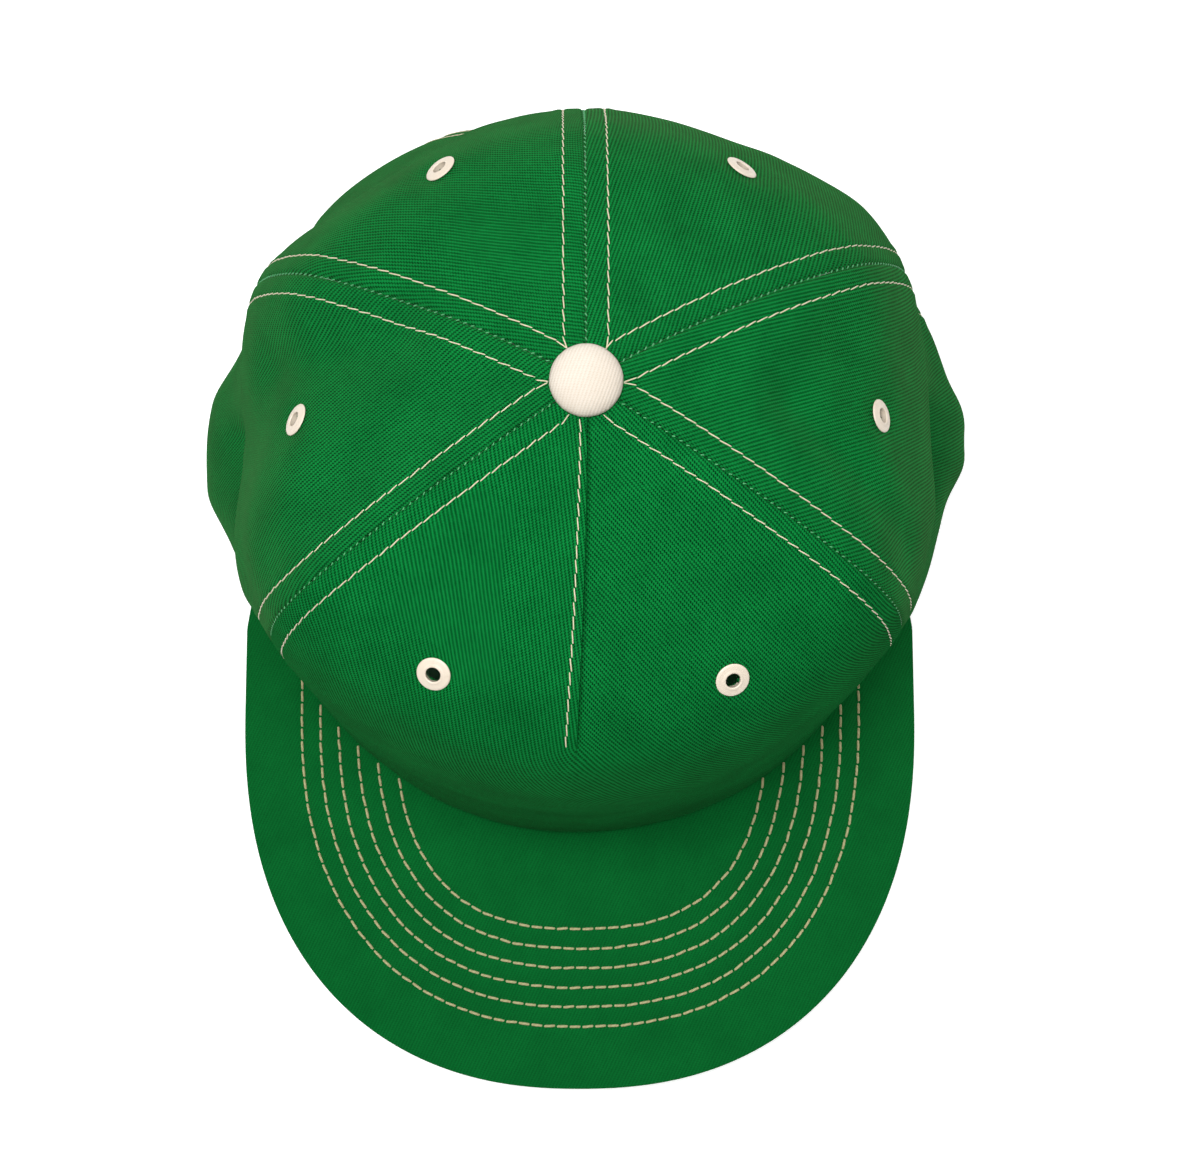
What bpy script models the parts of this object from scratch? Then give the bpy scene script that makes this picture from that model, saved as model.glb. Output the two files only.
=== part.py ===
"""Peaked cap of cotton twill, resting on a table with its peak towards -Y.

The crown is five sewn cloth panels round a covered button: one front panel with a dart, two side
panels and two back panels above an arched rear opening, which a plain strap closes. Six eyelets
air it, and the front panel stands on a stitched, slightly arched peak.

Left is -X and right is +X, as seen from above with the peak towards the viewer. Places on the crown
are given by an angle round the button, in degrees (0 right, 90 back, 180 left, 270 front), and by
down, the share of the way from the button to the rim.
"""
import math
from collections import namedtuple
from functools import lru_cache

import bmesh
import bpy
import numpy as np
from mathutils import Matrix, Vector

# Crown: reaches are measured at the rim, from the button's axis
CROWN_HEIGHT = 0.130
FRONT_REACH = 0.0965
BACK_REACH = 0.095
HALF_WIDTH = 0.090
CLOTH = 0.0018
HEM = 0.006
BUTTON_HOLE_RADIUS = 0.0045

# Seams: two neighbouring panels, each turned in at its edge
SEAM_GAP = 0.0003
SEAM_TURN = 0.0028
SEAM_DIP = 0.0008
DART_LENGTH = 0.080
DART_DIP = 0.0007
DART_FADE = 0.10

# Rear opening and strap
ARCH_HALF_WIDTH = 0.042
ARCH_HEIGHT = 0.046
STRAP_HEIGHT = 0.020
STRAP_LAP = 0.018
STRAP_THICKNESS = 0.0018
STRAP_LIFT = 0.001
STRAP_CLEARANCE = 0.0008

# Peak: heights are of its underside above the table
PEAK_HALF_WIDTH = 0.0902
PEAK_LENGTH = 0.0665
PEAK_THICKNESS = 0.0030
PEAK_RISE = 0.017
PEAK_TIP_HEIGHT = 0.010
PEAK_TUCK = 0.004
PEAK_SQUARENESS = 2.3
PEAK_STRAIGHT = 0.065
PEAK_CORNER_ANGLE = 196.0
REST_GAP = 0.0004
CORNER_MARGIN = 3.0
CORNER_BLEND = 11.0

# Button and eyelets
BUTTON_RADIUS = 0.0079
BUTTON_HEIGHT = 0.0042
BUTTON_POST_RADIUS = 0.0020
BUTTON_POST_LENGTH = 0.0050
EYELET_RADIUS = 0.0040
EYELET_BORE = 0.0018
EYELET_BARREL = 0.0024
EYELET_HEIGHT = 0.0010
EYELET_FROM_BUTTON = 0.072
EYELET_CLEARANCE = 0.0003

# Directions from the back round to the front, in degrees
DIRECTIONS = {"back": 0.0, "back_panel": 33.0, "back_seam": 66.0, "side": 90.0,
              "front_seam": 122.0, "front_quarter": 150.0, "front": 180.0}

# Crown sections: the drops are shares of the height, behind and in front, and the rest are shares of
# the rim's own reach
Section = namedtuple("Section", "down rear_drop front_drop back back_panel back_seam side front_seam "
                                "front_quarter front")
SECTIONS = (
    (0.00, 0.000, 0.000, 0.000, 0.000, 0.000, 0.000, 0.000, 0.000, 0.000),
    (0.12, 0.012, 0.004, 0.211, 0.214, 0.226, 0.222, 0.224, 0.211, 0.207),
    (0.24, 0.054, 0.016, 0.416, 0.428, 0.457, 0.444, 0.458, 0.428, 0.420),
    (0.34, 0.116, 0.046, 0.568, 0.584, 0.639, 0.622, 0.654, 0.612, 0.601),
    (0.43, 0.190, 0.100, 0.674, 0.698, 0.782, 0.761, 0.812, 0.755, 0.751),
    (0.50, 0.280, 0.178, 0.745, 0.771, 0.876, 0.850, 0.900, 0.850, 0.845),
    (0.57, 0.392, 0.300, 0.798, 0.824, 0.932, 0.898, 0.949, 0.908, 0.902),
    (0.65, 0.515, 0.440, 0.845, 0.878, 0.958, 0.926, 0.967, 0.940, 0.933),
    (0.74, 0.645, 0.590, 0.889, 0.921, 0.982, 0.969, 0.977, 0.956, 0.950),
    (0.83, 0.770, 0.735, 0.932, 0.967, 1.007, 1.022, 0.988, 0.969, 0.966),
    (0.92, 0.893, 0.878, 0.972, 0.996, 1.018, 1.038, 0.996, 0.982, 0.984),
    (1.00, 1.000, 1.000, 1.000, 1.000, 1.000, 1.000, 1.000, 1.000, 1.000),
)

# Angles from the back over which the front drop takes over from the rear one
FRONTAL_START = 80.0
FRONTAL_SPAN = 60.0

# Seams: the angle at the button and at the rim
SEAMS = {"back": (90.0, 90.0), "back_left": (150.0, 157.0), "front_left": (213.5, 215.5),
         "front_right": (329.0, 326.0), "back_right": (31.0, 25.5)}

# Panels: the seams on their two sides, in the direction of growing angle
PANELS = {
    "front_panel": ("front_left", "front_right"),
    "right_panel": ("front_right", "back_right"),
    "back_right_panel": ("back_right", "back"),
    "back_left_panel": ("back", "back_left"),
    "left_panel": ("back_left", "front_left"),
}

# The dart on the front panel: its angle at the button and at its end, carried on to the rim
DART_ANGLES = (271.5, 268.0)

# Eyelets: the panel that each sits in, its angle, and its share of the common way from the button
EYELETS = {
    "eyelet_front_left": ("front_panel", 242.2, 0.985),
    "eyelet_front_right": ("front_panel", 296.5, 0.995),
    "eyelet_left": ("left_panel", 184.3, 0.965),
    "eyelet_right": ("right_panel", 356.8, 0.985),
    "eyelet_back_left": ("back_left_panel", 121.8, 0.915),
    "eyelet_back_right": ("back_right_panel", 56.3, 0.955),
}

# Folds and dents: ends on the crown, width and lift as shares of the crown's height
Fold = namedtuple("Fold", "angle_a down_a angle_b down_b width lift")
FOLDS = {
    "left_dent": (176.0, 0.34, 187.0, 0.60, 0.095, -0.022),
    "left_seam_foot": (166.0, 0.26, 170.0, 0.46, 0.050, -0.008),
    "left_valley": (186.0, 0.20, 207.0, 0.46, 0.040, -0.008),
    "left_lip": (186.0, 0.60, 207.0, 0.60, 0.040, 0.010),
    "left_tuck": (180.0, 0.71, 198.0, 0.70, 0.050, -0.012),
    "left_bulge": (172.0, 0.87, 185.0, 0.86, 0.095, 0.034),
    "right_crease": (356.0, 0.27, 336.0, 0.48, 0.035, -0.014),
    "right_dent": (4.0, 0.34, 348.0, 0.48, 0.080, -0.010),
    "right_seam_foot": (14.0, 0.36, 10.0, 0.54, 0.050, -0.008),
    "right_shoulder": (6.0, 0.57, 346.0, 0.58, 0.055, 0.010),
    "right_tuck": (4.0, 0.69, 352.0, 0.71, 0.045, -0.012),
    "right_side_swell": (20.0, 0.86, 334.0, 0.83, 0.090, 0.018),
    "right_bulge": (4.0, 0.87, 0.0, 0.86, 0.090, 0.044),
    "back_left_dent": (128.0, 0.62, 142.0, 0.60, 0.130, -0.048),
    "back_left_flat": (112.0, 0.20, 118.0, 0.34, 0.080, -0.008),
    "back_left_flare": (108.0, 0.93, 120.0, 0.95, 0.090, 0.022),
    "back_right_ridge": (54.0, 0.55, 40.0, 0.60, 0.060, 0.010),
    "back_right_swell": (36.0, 0.64, 46.0, 0.66, 0.110, 0.006),
}

# Colours
GREEN = (0.010, 0.180, 0.030)
CREAM = (0.860, 0.780, 0.660)

# Fineness of the modelled surfaces
DOME_ROWS = 9
WALL_ROWS = 6
FRONT_COLUMNS = 8
SIDE_COLUMNS = 8
BACK_COLUMNS = 6
ARCH_TURNS = (22.0, 40.0, 56.0, 72.0, 90.0)
STRAP_COLUMNS = 14
STRAP_ROWS = 3
PEAK_COLUMNS = 26
PEAK_ROWS = 6
ROUND_SIDES = 12
BUTTON_SIDES = 20
OUTLINE_STEPS = 36

# The down below which a panel's rows follow the rear opening
SHOULDER_DOWN = 0.57

# A panel's turned edge takes at most this share of the panel's width
TURN_LIMIT = 0.25

# Step, as a share of down, for slopes of the crown
PROBE = 0.01

# A panel's column: its field between two lines, its share of the field's width, how many half gaps
# and turned edges it is moved by, how far it is set in, and its share of the rear opening's height
Column = namedtuple("Column", "field share gaps turns dip rise")


def smooth(places, values, place):
    """Return the value at place on a smooth curve through rising places and their values."""
    slopes = np.gradient(values, places)
    low = int(np.clip(np.searchsorted(places, place) - 1, 0, len(places) - 2))
    step = places[low + 1] - places[low]
    s = (place - places[low]) / step
    ends = values[low] * (1 + 2 * s) + slopes[low] * step * s
    far_ends = values[low + 1] * (3 - 2 * s) - slopes[low + 1] * step * (1 - s)
    return ends * (1 - s) ** 2 + far_ends * s ** 2


def smooth_step(share):
    """Ease from 0 to 1 as share goes from 0 to 1."""
    share = min(max(share, 0.0), 1.0)
    return share * share * (3 - 2 * share)


@lru_cache(maxsize=None)
def section_at(down):
    """Return the crown's section at one down, smooth across the button."""
    rows = np.array(SECTIONS)
    mirrored = np.concatenate([-rows[1, :1], rows[1, 1:3], -rows[1, 3:]])
    rows = np.vstack([mirrored, rows])
    return Section(down, *[smooth(rows[:, 0], rows[:, column], down) for column in range(1, rows.shape[1])])


def share_at(section, angle):
    """Return the reach share at an angle from a section's shares in the named directions."""
    from_back = abs((angle - 90.0 + 180.0) % 360.0 - 180.0)
    shares = [getattr(section, name) for name in DIRECTIONS]
    places = np.array(list(DIRECTIONS.values()))
    places = np.concatenate([[-places[1]], places, [360.0 - places[-2]]])
    values = np.concatenate([[shares[1]], shares, [shares[-2]]])
    return smooth(places, values, from_back)


def rim_reach(angle):
    """Return the distance from the button's axis to the rim."""
    across = math.cos(math.radians(angle))
    along = math.sin(math.radians(angle))
    return 1.0 / math.hypot(across / HALF_WIDTH, along / (BACK_REACH if along > 0 else FRONT_REACH))


def peak_top(x, y):
    """Return the height of the peak's upper face: it falls to its tip and arches across."""
    forward = (-y - FRONT_REACH) / PEAK_LENGTH
    middle = PEAK_RISE + (PEAK_TIP_HEIGHT - PEAK_RISE) * forward
    return PEAK_THICKNESS + middle * (1 - (x / PEAK_HALF_WIDTH) ** 2)


def rim_height(angle):
    """Return the height of the hem: on the peak at the front, on the table elsewhere."""
    from_front = abs((angle - 270.0 + 180.0) % 360.0 - 180.0)
    reach = rim_reach(angle) - CLOTH
    seat = peak_top(reach * math.cos(math.radians(angle)), reach * math.sin(math.radians(angle)))
    past = (from_front - (270.0 - PEAK_CORNER_ANGLE) - CORNER_MARGIN) / CORNER_BLEND
    return (seat + REST_GAP) * (1 - smooth_step(past))


def fold_lift(angle, down):
    """Return how far the folds lift the cloth, measured on the crown rolled out flat."""
    place = down * np.array([math.cos(math.radians(angle)), math.sin(math.radians(angle))])
    lift = 0.0
    for fold in map(Fold._make, FOLDS.values()):
        turn_a = math.radians(fold.angle_a)
        turn_b = math.radians(fold.angle_b)
        end_a = fold.down_a * np.array([math.cos(turn_a), math.sin(turn_a)])
        end_b = fold.down_b * np.array([math.cos(turn_b), math.sin(turn_b)])
        run = end_b - end_a
        share = np.clip(np.dot(place - end_a, run) / np.dot(run, run), 0.0, 1.0)
        distance = np.linalg.norm(place - end_a - share * run)
        lift += fold.lift * math.exp(-(distance / fold.width) ** 2)
    return lift * CROWN_HEIGHT


def smooth_point(angle, down):
    """Return a point of the crown's outer face without its folds, as reach and height."""
    section = section_at(down)
    from_back = abs((angle - 90.0 + 180.0) % 360.0 - 180.0)
    frontal = smooth_step((from_back - FRONTAL_START) / FRONTAL_SPAN)
    drop = section.rear_drop + (section.front_drop - section.rear_drop) * frontal
    hem_top = rim_height(angle) + HEM
    reach = rim_reach(angle) * share_at(section, angle)
    return reach, hem_top + (CROWN_HEIGHT - hem_top) * (1 - drop)


def crown_point(angle, down, dip=0.0):
    """Return a point of the crown's outer face, set in by dip."""
    reach, height = smooth_point(angle, down)
    near_reach, near_height = smooth_point(angle, down - PROBE)
    outward = reach - near_reach
    downward = near_height - height
    lift = (fold_lift(angle, down) - dip) / math.hypot(outward, downward)
    reach += lift * downward
    height += lift * outward
    return Vector((reach * math.cos(math.radians(angle)), reach * math.sin(math.radians(angle)), height))


def crown_frame(angle, down):
    """Return the frame that stands on the crown's outer face at a place."""
    place = crown_point(angle, down)
    along = crown_point(angle, down + PROBE) - crown_point(angle, down - PROBE)
    across = crown_point(angle + 1.0, down) - crown_point(angle - 1.0, down)
    normal = along.cross(across).normalized()
    turn = normal.to_track_quat("Z", "Y").to_matrix().to_4x4()
    return Matrix.Translation(place) @ turn


def line_angle(ends, down):
    """Return a seam's angle at one down: it turns from its button end to its rim end."""
    top, rim = ends
    return rim + ((top - rim + 180.0) % 360.0 - 180.0) * (1 - down) ** 3


def down_at_height(angle, height):
    """Return the down at which the smooth crown reaches a height."""
    downs = np.linspace(0.0, 1.0, 81)
    heights = [smooth_point(angle, down)[1] for down in downs]
    return float(np.interp(-height, np.negative(heights), downs))


@lru_cache(maxsize=None)
def down_at_way(angle, way):
    """Return the down at which the cloth has run a way from the button's axis."""
    downs = np.linspace(0.0, 1.0, 81)
    points = [smooth_point(angle, down) for down in downs]
    steps = [math.dist(a, b) for a, b in zip(points, points[1:])]
    return float(np.interp(way, np.concatenate([[0.0], np.cumsum(steps)]), downs))


def panel_lines(name):
    """Return the lines that bound or crease a panel, each with its angles at button and rim."""
    first, last = (SEAMS[seam] for seam in PANELS[name])
    last = tuple(angle + 360.0 if angle < first[1] else angle for angle in last)
    return [first, DART_ANGLES, last] if name == "front_panel" else [first, last]


def field_columns(name):
    """Return the columns inside one field of a panel, as pairs of share and rise."""
    if not name.startswith("back"):
        count = FRONT_COLUMNS if name == "front_panel" else SIDE_COLUMNS
        return [(index / count, 0.0) for index in range(1, count)]
    seam = SEAMS["back_left" if name == "back_left_panel" else "back_right"]
    width = math.radians(abs(seam[1] - SEAMS["back"][1])) * BACK_REACH
    foot = (ARCH_HALF_WIDTH - SEAM_TURN) / (width - 2 * SEAM_TURN)
    turns = [math.radians(turn) for turn in ARCH_TURNS]
    columns = [(foot * math.sin(turn), max(math.cos(turn), 0.0)) for turn in turns[:-1]] + [(foot, 0.0)]
    columns += [(foot + (1 - foot) * index / BACK_COLUMNS, 0.0) for index in range(1, BACK_COLUMNS)]
    return columns if name == "back_left_panel" else [(1 - share, rise) for share, rise in columns[::-1]]


def panel_columns(name):
    """Return all columns of a panel, from its first seam to its last."""
    low_rise = 1.0 if name == "back_left_panel" else 0.0
    high_rise = 1.0 if name == "back_right_panel" else 0.0
    fields = len(panel_lines(name)) - 1
    columns = []
    for field in range(fields):
        edge = (1.0, SEAM_DIP) if field == 0 else (0.0, DART_DIP)
        columns.append(Column(field, 0.0, edge[0], 0.0, edge[1], low_rise))
        columns.append(Column(field, 0.0, 0.0, 1.0, 0.0, low_rise))
        for share, rise in field_columns(name):
            columns.append(Column(field, share, 0.0, 1 - 2 * share, 0.0, rise))
        columns.append(Column(field, 1.0, 0.0, -1.0, 0.0, high_rise))
    columns.append(Column(fields - 1, 1.0, -1.0, 0.0, SEAM_DIP, high_rise))
    return columns


def column_point(name, column, down):
    """Return the point of a panel's column at one down."""
    lines = [line_angle(ends, down) for ends in panel_lines(name)]
    low, high = lines[column.field], lines[column.field + 1]
    reach = smooth_point((low + high) / 2, down)[0]
    turn = min(SEAM_TURN, TURN_LIMIT * math.radians(high - low) * reach)
    shift = math.degrees((column.gaps * SEAM_GAP / 2 + column.turns * turn) / reach)
    dip = column.dip
    if dip == DART_DIP:
        dip *= smooth_step((down_at_way(DART_ANGLES[1], DART_LENGTH) - down) / DART_FADE)
    return crown_point(low + column.share * (high - low) + shift, down, dip)


def grid_mesh(name, rows):
    """Return a mesh of quads over rows of points."""
    columns = len(rows[0])
    points = [point for row in rows for point in row]
    faces = [
        (row * columns + column, (row + 1) * columns + column,
         (row + 1) * columns + column + 1, row * columns + column + 1)
        for row in range(len(rows) - 1) for column in range(columns - 1)
    ]
    mesh = bpy.data.meshes.new(name)
    mesh.from_pydata(points, [], faces)
    mesh.shade_smooth()
    return mesh


def add_object(name, mesh, parent, collection, material):
    """Add an object for a mesh to a collection, under the cap's empty."""
    item = bpy.data.objects.new(name, mesh)
    collection.objects.link(item)
    item.parent = parent
    if material:
        mesh.materials.append(material)
    return item


def add_wall(item, thickness):
    """Give an open surface its thickness, inwards from its outer face."""
    wall = item.modifiers.new("Wall", "SOLIDIFY")
    wall.thickness = thickness
    wall.offset = -1.0
    wall.use_rim = True


def make_material(name, colour, roughness, metallic=0.0):
    """Return a Principled material."""
    material = bpy.data.materials.new(name)
    material.use_nodes = True
    shader = material.node_tree.nodes["Principled BSDF"]
    shader.inputs["Base Color"].default_value = (*colour, 1.0)
    shader.inputs["Roughness"].default_value = roughness
    shader.inputs["Metallic"].default_value = metallic
    return material


def column_points(name, column):
    """Return a column's points from the button's hole to the hem.

    The hem hangs straight at the rim and follows the wall round the rear opening.
    """
    foot = column_point(name, column, 1.0)
    angle = math.degrees(math.atan2(foot.y, foot.x))
    edge = ARCH_HEIGHT * column.rise
    top = down_at_way(angle, BUTTON_HOLE_RADIUS)
    low = down_at_height(angle, edge + HEM) if edge > 0 else 1.0
    downs = [top + (SHOULDER_DOWN - top) * row / DOME_ROWS for row in range(DOME_ROWS)]
    downs += [SHOULDER_DOWN + (low - SHOULDER_DOWN) * row / WALL_ROWS for row in range(WALL_ROWS + 1)]
    points = [column_point(name, column, down) for down in downs]
    if edge > HEM:
        return points + [column_point(name, column, down_at_height(angle, edge))]
    return points + [Vector((points[-1].x, points[-1].y, edge + rim_height(angle)))]


def make_panel(name, cap, parts):
    """Make one crown panel."""
    rows = list(zip(*[column_points(name, column) for column in panel_columns(name)]))
    panel = add_object(name, grid_mesh(name, rows), cap, parts, make_material(name, GREEN, 0.85))
    add_wall(panel, CLOTH)
    return panel


def wall_point(angle, height, inset):
    """Return a point of the rear wall at one height, moved inwards."""
    place = crown_point(angle, down_at_height(angle, max(height, HEM)))
    outward = Vector((math.cos(math.radians(angle)), math.sin(math.radians(angle)), 0.0))
    return Vector((place.x, place.y, height)) - inset * outward


def make_strap(cap, parts):
    """Make the cloth strap across the rear opening, inside the back panels."""
    half_angle = math.degrees((ARCH_HALF_WIDTH + STRAP_LAP) / BACK_REACH)
    angles = [90.0 + half_angle * (2 * index / STRAP_COLUMNS - 1) for index in range(STRAP_COLUMNS + 1)]
    heights = [STRAP_LIFT + STRAP_HEIGHT * (1 - index / STRAP_ROWS) for index in range(STRAP_ROWS + 1)]
    inset = CLOTH + STRAP_CLEARANCE
    rows = [[wall_point(angle, height, inset) for angle in angles] for height in heights]
    strap = add_object("strap", grid_mesh("strap", rows), cap, parts, make_material("strap", GREEN, 0.85))
    add_wall(strap, STRAP_THICKNESS)


def along(points, shares):
    """Return points at shares of the length of a line through the given points."""
    lengths = np.concatenate([[0.0], np.cumsum([(b - a).length for a, b in zip(points, points[1:])])])
    xs = np.interp(np.multiply(shares, lengths[-1]), lengths, [point.x for point in points])
    ys = np.interp(np.multiply(shares, lengths[-1]), lengths, [point.y for point in points])
    return [Vector((x, y)) for x, y in zip(xs, ys)]


def peak_outline():
    """Return the peak's outer edge in plan, from its left corner round its tip to its right corner."""
    corner = math.radians(PEAK_CORNER_ANGLE)
    reach = rim_reach(PEAK_CORNER_ANGLE)
    start = Vector((reach * math.cos(corner), reach * math.sin(corner)))
    front = FRONT_REACH + PEAK_LENGTH - PEAK_STRAIGHT
    half = []
    for index in range(OUTLINE_STEPS + 1):
        turn = math.radians(90.0 * index / OUTLINE_STEPS)
        x = PEAK_HALF_WIDTH * math.cos(turn) ** (2 / PEAK_SQUARENESS)
        y = front * math.sin(turn) ** (2 / PEAK_SQUARENESS)
        half.append(Vector((-x, -PEAK_STRAIGHT - y)))
    left = [start] + half
    return left + [Vector((-point.x, point.y)) for point in left[-2::-1]]


def make_peak(cap, parts):
    """Make the peak: a loft from inside the rim to its outline, arched across."""
    shares = [index / PEAK_COLUMNS for index in range(PEAK_COLUMNS + 1)]
    sweep = 2 * (270.0 - PEAK_CORNER_ANGLE)
    inner_line = []
    for index in range(OUTLINE_STEPS + 1):
        angle = PEAK_CORNER_ANGLE + sweep * index / OUTLINE_STEPS
        reach = rim_reach(angle) - PEAK_TUCK
        turn = math.radians(angle)
        inner_line.append(Vector((reach * math.cos(turn), reach * math.sin(turn))))
    inner = along(inner_line, shares)
    outer = along(peak_outline(), shares)
    rows = []
    for row in range(PEAK_ROWS + 1):
        line = [near.lerp(far, row / PEAK_ROWS) for near, far in zip(inner, outer)]
        rows.append([Vector((point.x, point.y, peak_top(point.x, point.y))) for point in line])
    peak = add_object("peak", grid_mesh("peak", rows), cap, parts, make_material("peak", GREEN, 0.9))
    add_wall(peak, PEAK_THICKNESS)


def turned_mesh(name, profile, sides):
    """Return a mesh turned round Z from a closed profile of radius and height pairs."""
    shape = bmesh.new()
    start = [shape.verts.new((radius, 0.0, height)) for radius, height in profile]
    edges = [shape.edges.new((a, b)) for a, b in zip(start, start[1:] + start[:1])]
    bmesh.ops.spin(shape, geom=start + edges, cent=(0, 0, 0), axis=(0, 0, 1), dvec=(0, 0, 0),
                   angle=math.tau, steps=sides, use_merge=True, use_duplicate=False)
    bmesh.ops.remove_doubles(shape, verts=shape.verts, dist=0.00001)
    bmesh.ops.recalc_face_normals(shape, faces=shape.faces)
    mesh = bpy.data.meshes.new(name)
    shape.to_mesh(mesh)
    shape.free()
    mesh.shade_smooth()
    mesh.set_sharp_from_angle(angle=math.radians(40))
    return mesh


def make_eyelet(name, panel, angle, way, cap, parts, cutters):
    """Make one eyelet with an open bore, and the hole in its panel."""
    frame = crown_frame(angle, down_at_way(angle, way))
    barrel = CLOTH + 2 * REST_GAP
    profile = [
        (EYELET_BORE, -barrel),
        (EYELET_BORE, 0.55 * EYELET_HEIGHT),
        (1.18 * EYELET_BORE, EYELET_HEIGHT),
        (0.70 * EYELET_RADIUS, 0.90 * EYELET_HEIGHT),
        (0.92 * EYELET_RADIUS, 0.50 * EYELET_HEIGHT),
        (EYELET_RADIUS, 0.10 * EYELET_HEIGHT),
        (0.97 * EYELET_RADIUS, 0.0),
        (EYELET_BARREL, 0.0),
        (EYELET_BARREL, -barrel),
    ]
    eyelet = add_object(name, turned_mesh(name, profile, ROUND_SIDES), cap, parts,
                        make_material(name, CREAM, 0.45))
    eyelet.matrix_local = frame @ Matrix.Translation((0.0, 0.0, REST_GAP))
    shape = bmesh.new()
    bmesh.ops.create_cone(shape, cap_ends=True, segments=ROUND_SIDES, depth=6 * CLOTH,
                          radius1=EYELET_BARREL + EYELET_CLEARANCE, radius2=EYELET_BARREL + EYELET_CLEARANCE)
    mesh = bpy.data.meshes.new(f"{name}_cutter")
    shape.to_mesh(mesh)
    shape.free()
    cutter = add_object(f"{name}_cutter", mesh, cap, cutters, None)
    cutter.matrix_local = frame
    cutter.hide_render = True
    cutter.display_type = "WIRE"
    hole = panel.modifiers.new(f"{name}_hole", "BOOLEAN")
    hole.operation = "DIFFERENCE"
    hole.object = cutter


def make_button(cap, parts):
    """Make the domed button, seated over the panels' ends, with its post through their hole."""
    seat = smooth_point(270.0, down_at_way(270.0, 0.95 * BUTTON_RADIUS))[1] - CROWN_HEIGHT
    rise = smooth_point(270.0, down_at_way(270.0, BUTTON_HOLE_RADIUS))[1] - CROWN_HEIGHT
    dome = [(BUTTON_RADIUS * math.sin(math.radians(turn)), BUTTON_HEIGHT * math.cos(math.radians(turn)))
            for turn in (0.0, 20.0, 40.0, 60.0, 77.0)]
    profile = dome + [
        (BUTTON_RADIUS, seat + 0.15 * BUTTON_HEIGHT),
        (0.95 * BUTTON_RADIUS, seat),
        (BUTTON_HOLE_RADIUS, rise),
        (BUTTON_POST_RADIUS, rise),
        (BUTTON_POST_RADIUS, rise - BUTTON_POST_LENGTH),
        (0.0, rise - BUTTON_POST_LENGTH),
    ]
    button = add_object("button", turned_mesh("button", profile, BUTTON_SIDES), cap, parts,
                        make_material("button", CREAM, 0.7))
    button.location = (0.0, 0.0, CROWN_HEIGHT + REST_GAP)


def centre_on_table(cap, parts):
    """Move the cap so that the middle of its underside is at the origin."""
    bpy.context.view_layer.update()
    depsgraph = bpy.context.evaluated_depsgraph_get()
    corners = []
    for item in parts.objects:
        if item.type == "MESH":
            shape = item.evaluated_get(depsgraph)
            corners += [shape.matrix_world @ vertex.co for vertex in shape.data.vertices]
    low = [min(corner[axis] for corner in corners) for axis in range(3)]
    high = [max(corner[axis] for corner in corners) for axis in range(3)]
    cap.location = (-(low[0] + high[0]) / 2, -(low[1] + high[1]) / 2, -low[2])


def main():
    """Build the cap."""
    for item in list(bpy.data.objects):
        bpy.data.objects.remove(item, do_unlink=True)
    parts = bpy.data.collections.new("peaked_cap")
    cutters = bpy.data.collections.new("cutters")
    bpy.context.scene.collection.children.link(parts)
    bpy.context.scene.collection.children.link(cutters)
    cap = bpy.data.objects.new("cap", None)
    parts.objects.link(cap)
    panels = {name: make_panel(name, cap, parts) for name in PANELS}
    make_strap(cap, parts)
    make_peak(cap, parts)
    make_button(cap, parts)
    for name, (panel, angle, share) in EYELETS.items():
        make_eyelet(name, panels[panel], angle, share * EYELET_FROM_BUTTON, cap, parts, cutters)
    centre_on_table(cap, parts)


main()
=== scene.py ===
"""Peaked cap of green cotton twill with cream topstitching, button and eyelets, in a pale studio.

The cap rests on a pale floor with its peak towards -Y. Places on the crown are given by an angle round the
button, in degrees (0 right, 90 back, 180 left, 270 front), and by down, the share of the way from the button
to the rim. Lengths are in metres.
"""
from __future__ import annotations

import logging
import math
import random
from dataclasses import dataclass, field, replace
from enum import Enum
from typing import Iterable

import bmesh
import bpy
import numpy as np
from mathutils import Matrix, Vector, noise

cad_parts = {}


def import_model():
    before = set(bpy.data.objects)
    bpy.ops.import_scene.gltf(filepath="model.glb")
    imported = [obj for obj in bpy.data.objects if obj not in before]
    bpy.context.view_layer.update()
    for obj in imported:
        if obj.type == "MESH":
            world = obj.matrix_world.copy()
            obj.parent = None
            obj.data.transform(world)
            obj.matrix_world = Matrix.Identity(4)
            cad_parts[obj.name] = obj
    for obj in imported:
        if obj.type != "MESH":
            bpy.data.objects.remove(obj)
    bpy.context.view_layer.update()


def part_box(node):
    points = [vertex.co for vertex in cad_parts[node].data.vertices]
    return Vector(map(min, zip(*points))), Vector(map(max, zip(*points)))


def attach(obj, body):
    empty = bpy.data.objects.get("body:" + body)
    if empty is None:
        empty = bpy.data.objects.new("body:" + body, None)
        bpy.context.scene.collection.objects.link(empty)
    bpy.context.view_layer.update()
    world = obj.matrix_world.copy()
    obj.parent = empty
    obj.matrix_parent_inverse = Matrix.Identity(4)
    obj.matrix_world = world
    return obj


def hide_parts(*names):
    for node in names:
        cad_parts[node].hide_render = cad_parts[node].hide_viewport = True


log = logging.getLogger("peaked_cap")

BODY = "root"
MM = 0.001
BACK, FRONT = 90.0, 270.0
WAY_STEPS, LINE_STEPS, ROW_STEPS, HANG_STEPS = 161, 400, 300, 20
SHARP_TURN = 60.0


class Slot(Enum):
    """Material slots of the record."""

    GREEN_TWILL = "green_twill"
    CREAM_TWILL = "cream_twill"
    CREAM_ENAMEL = "cream_enamel"


# Helpers


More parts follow.
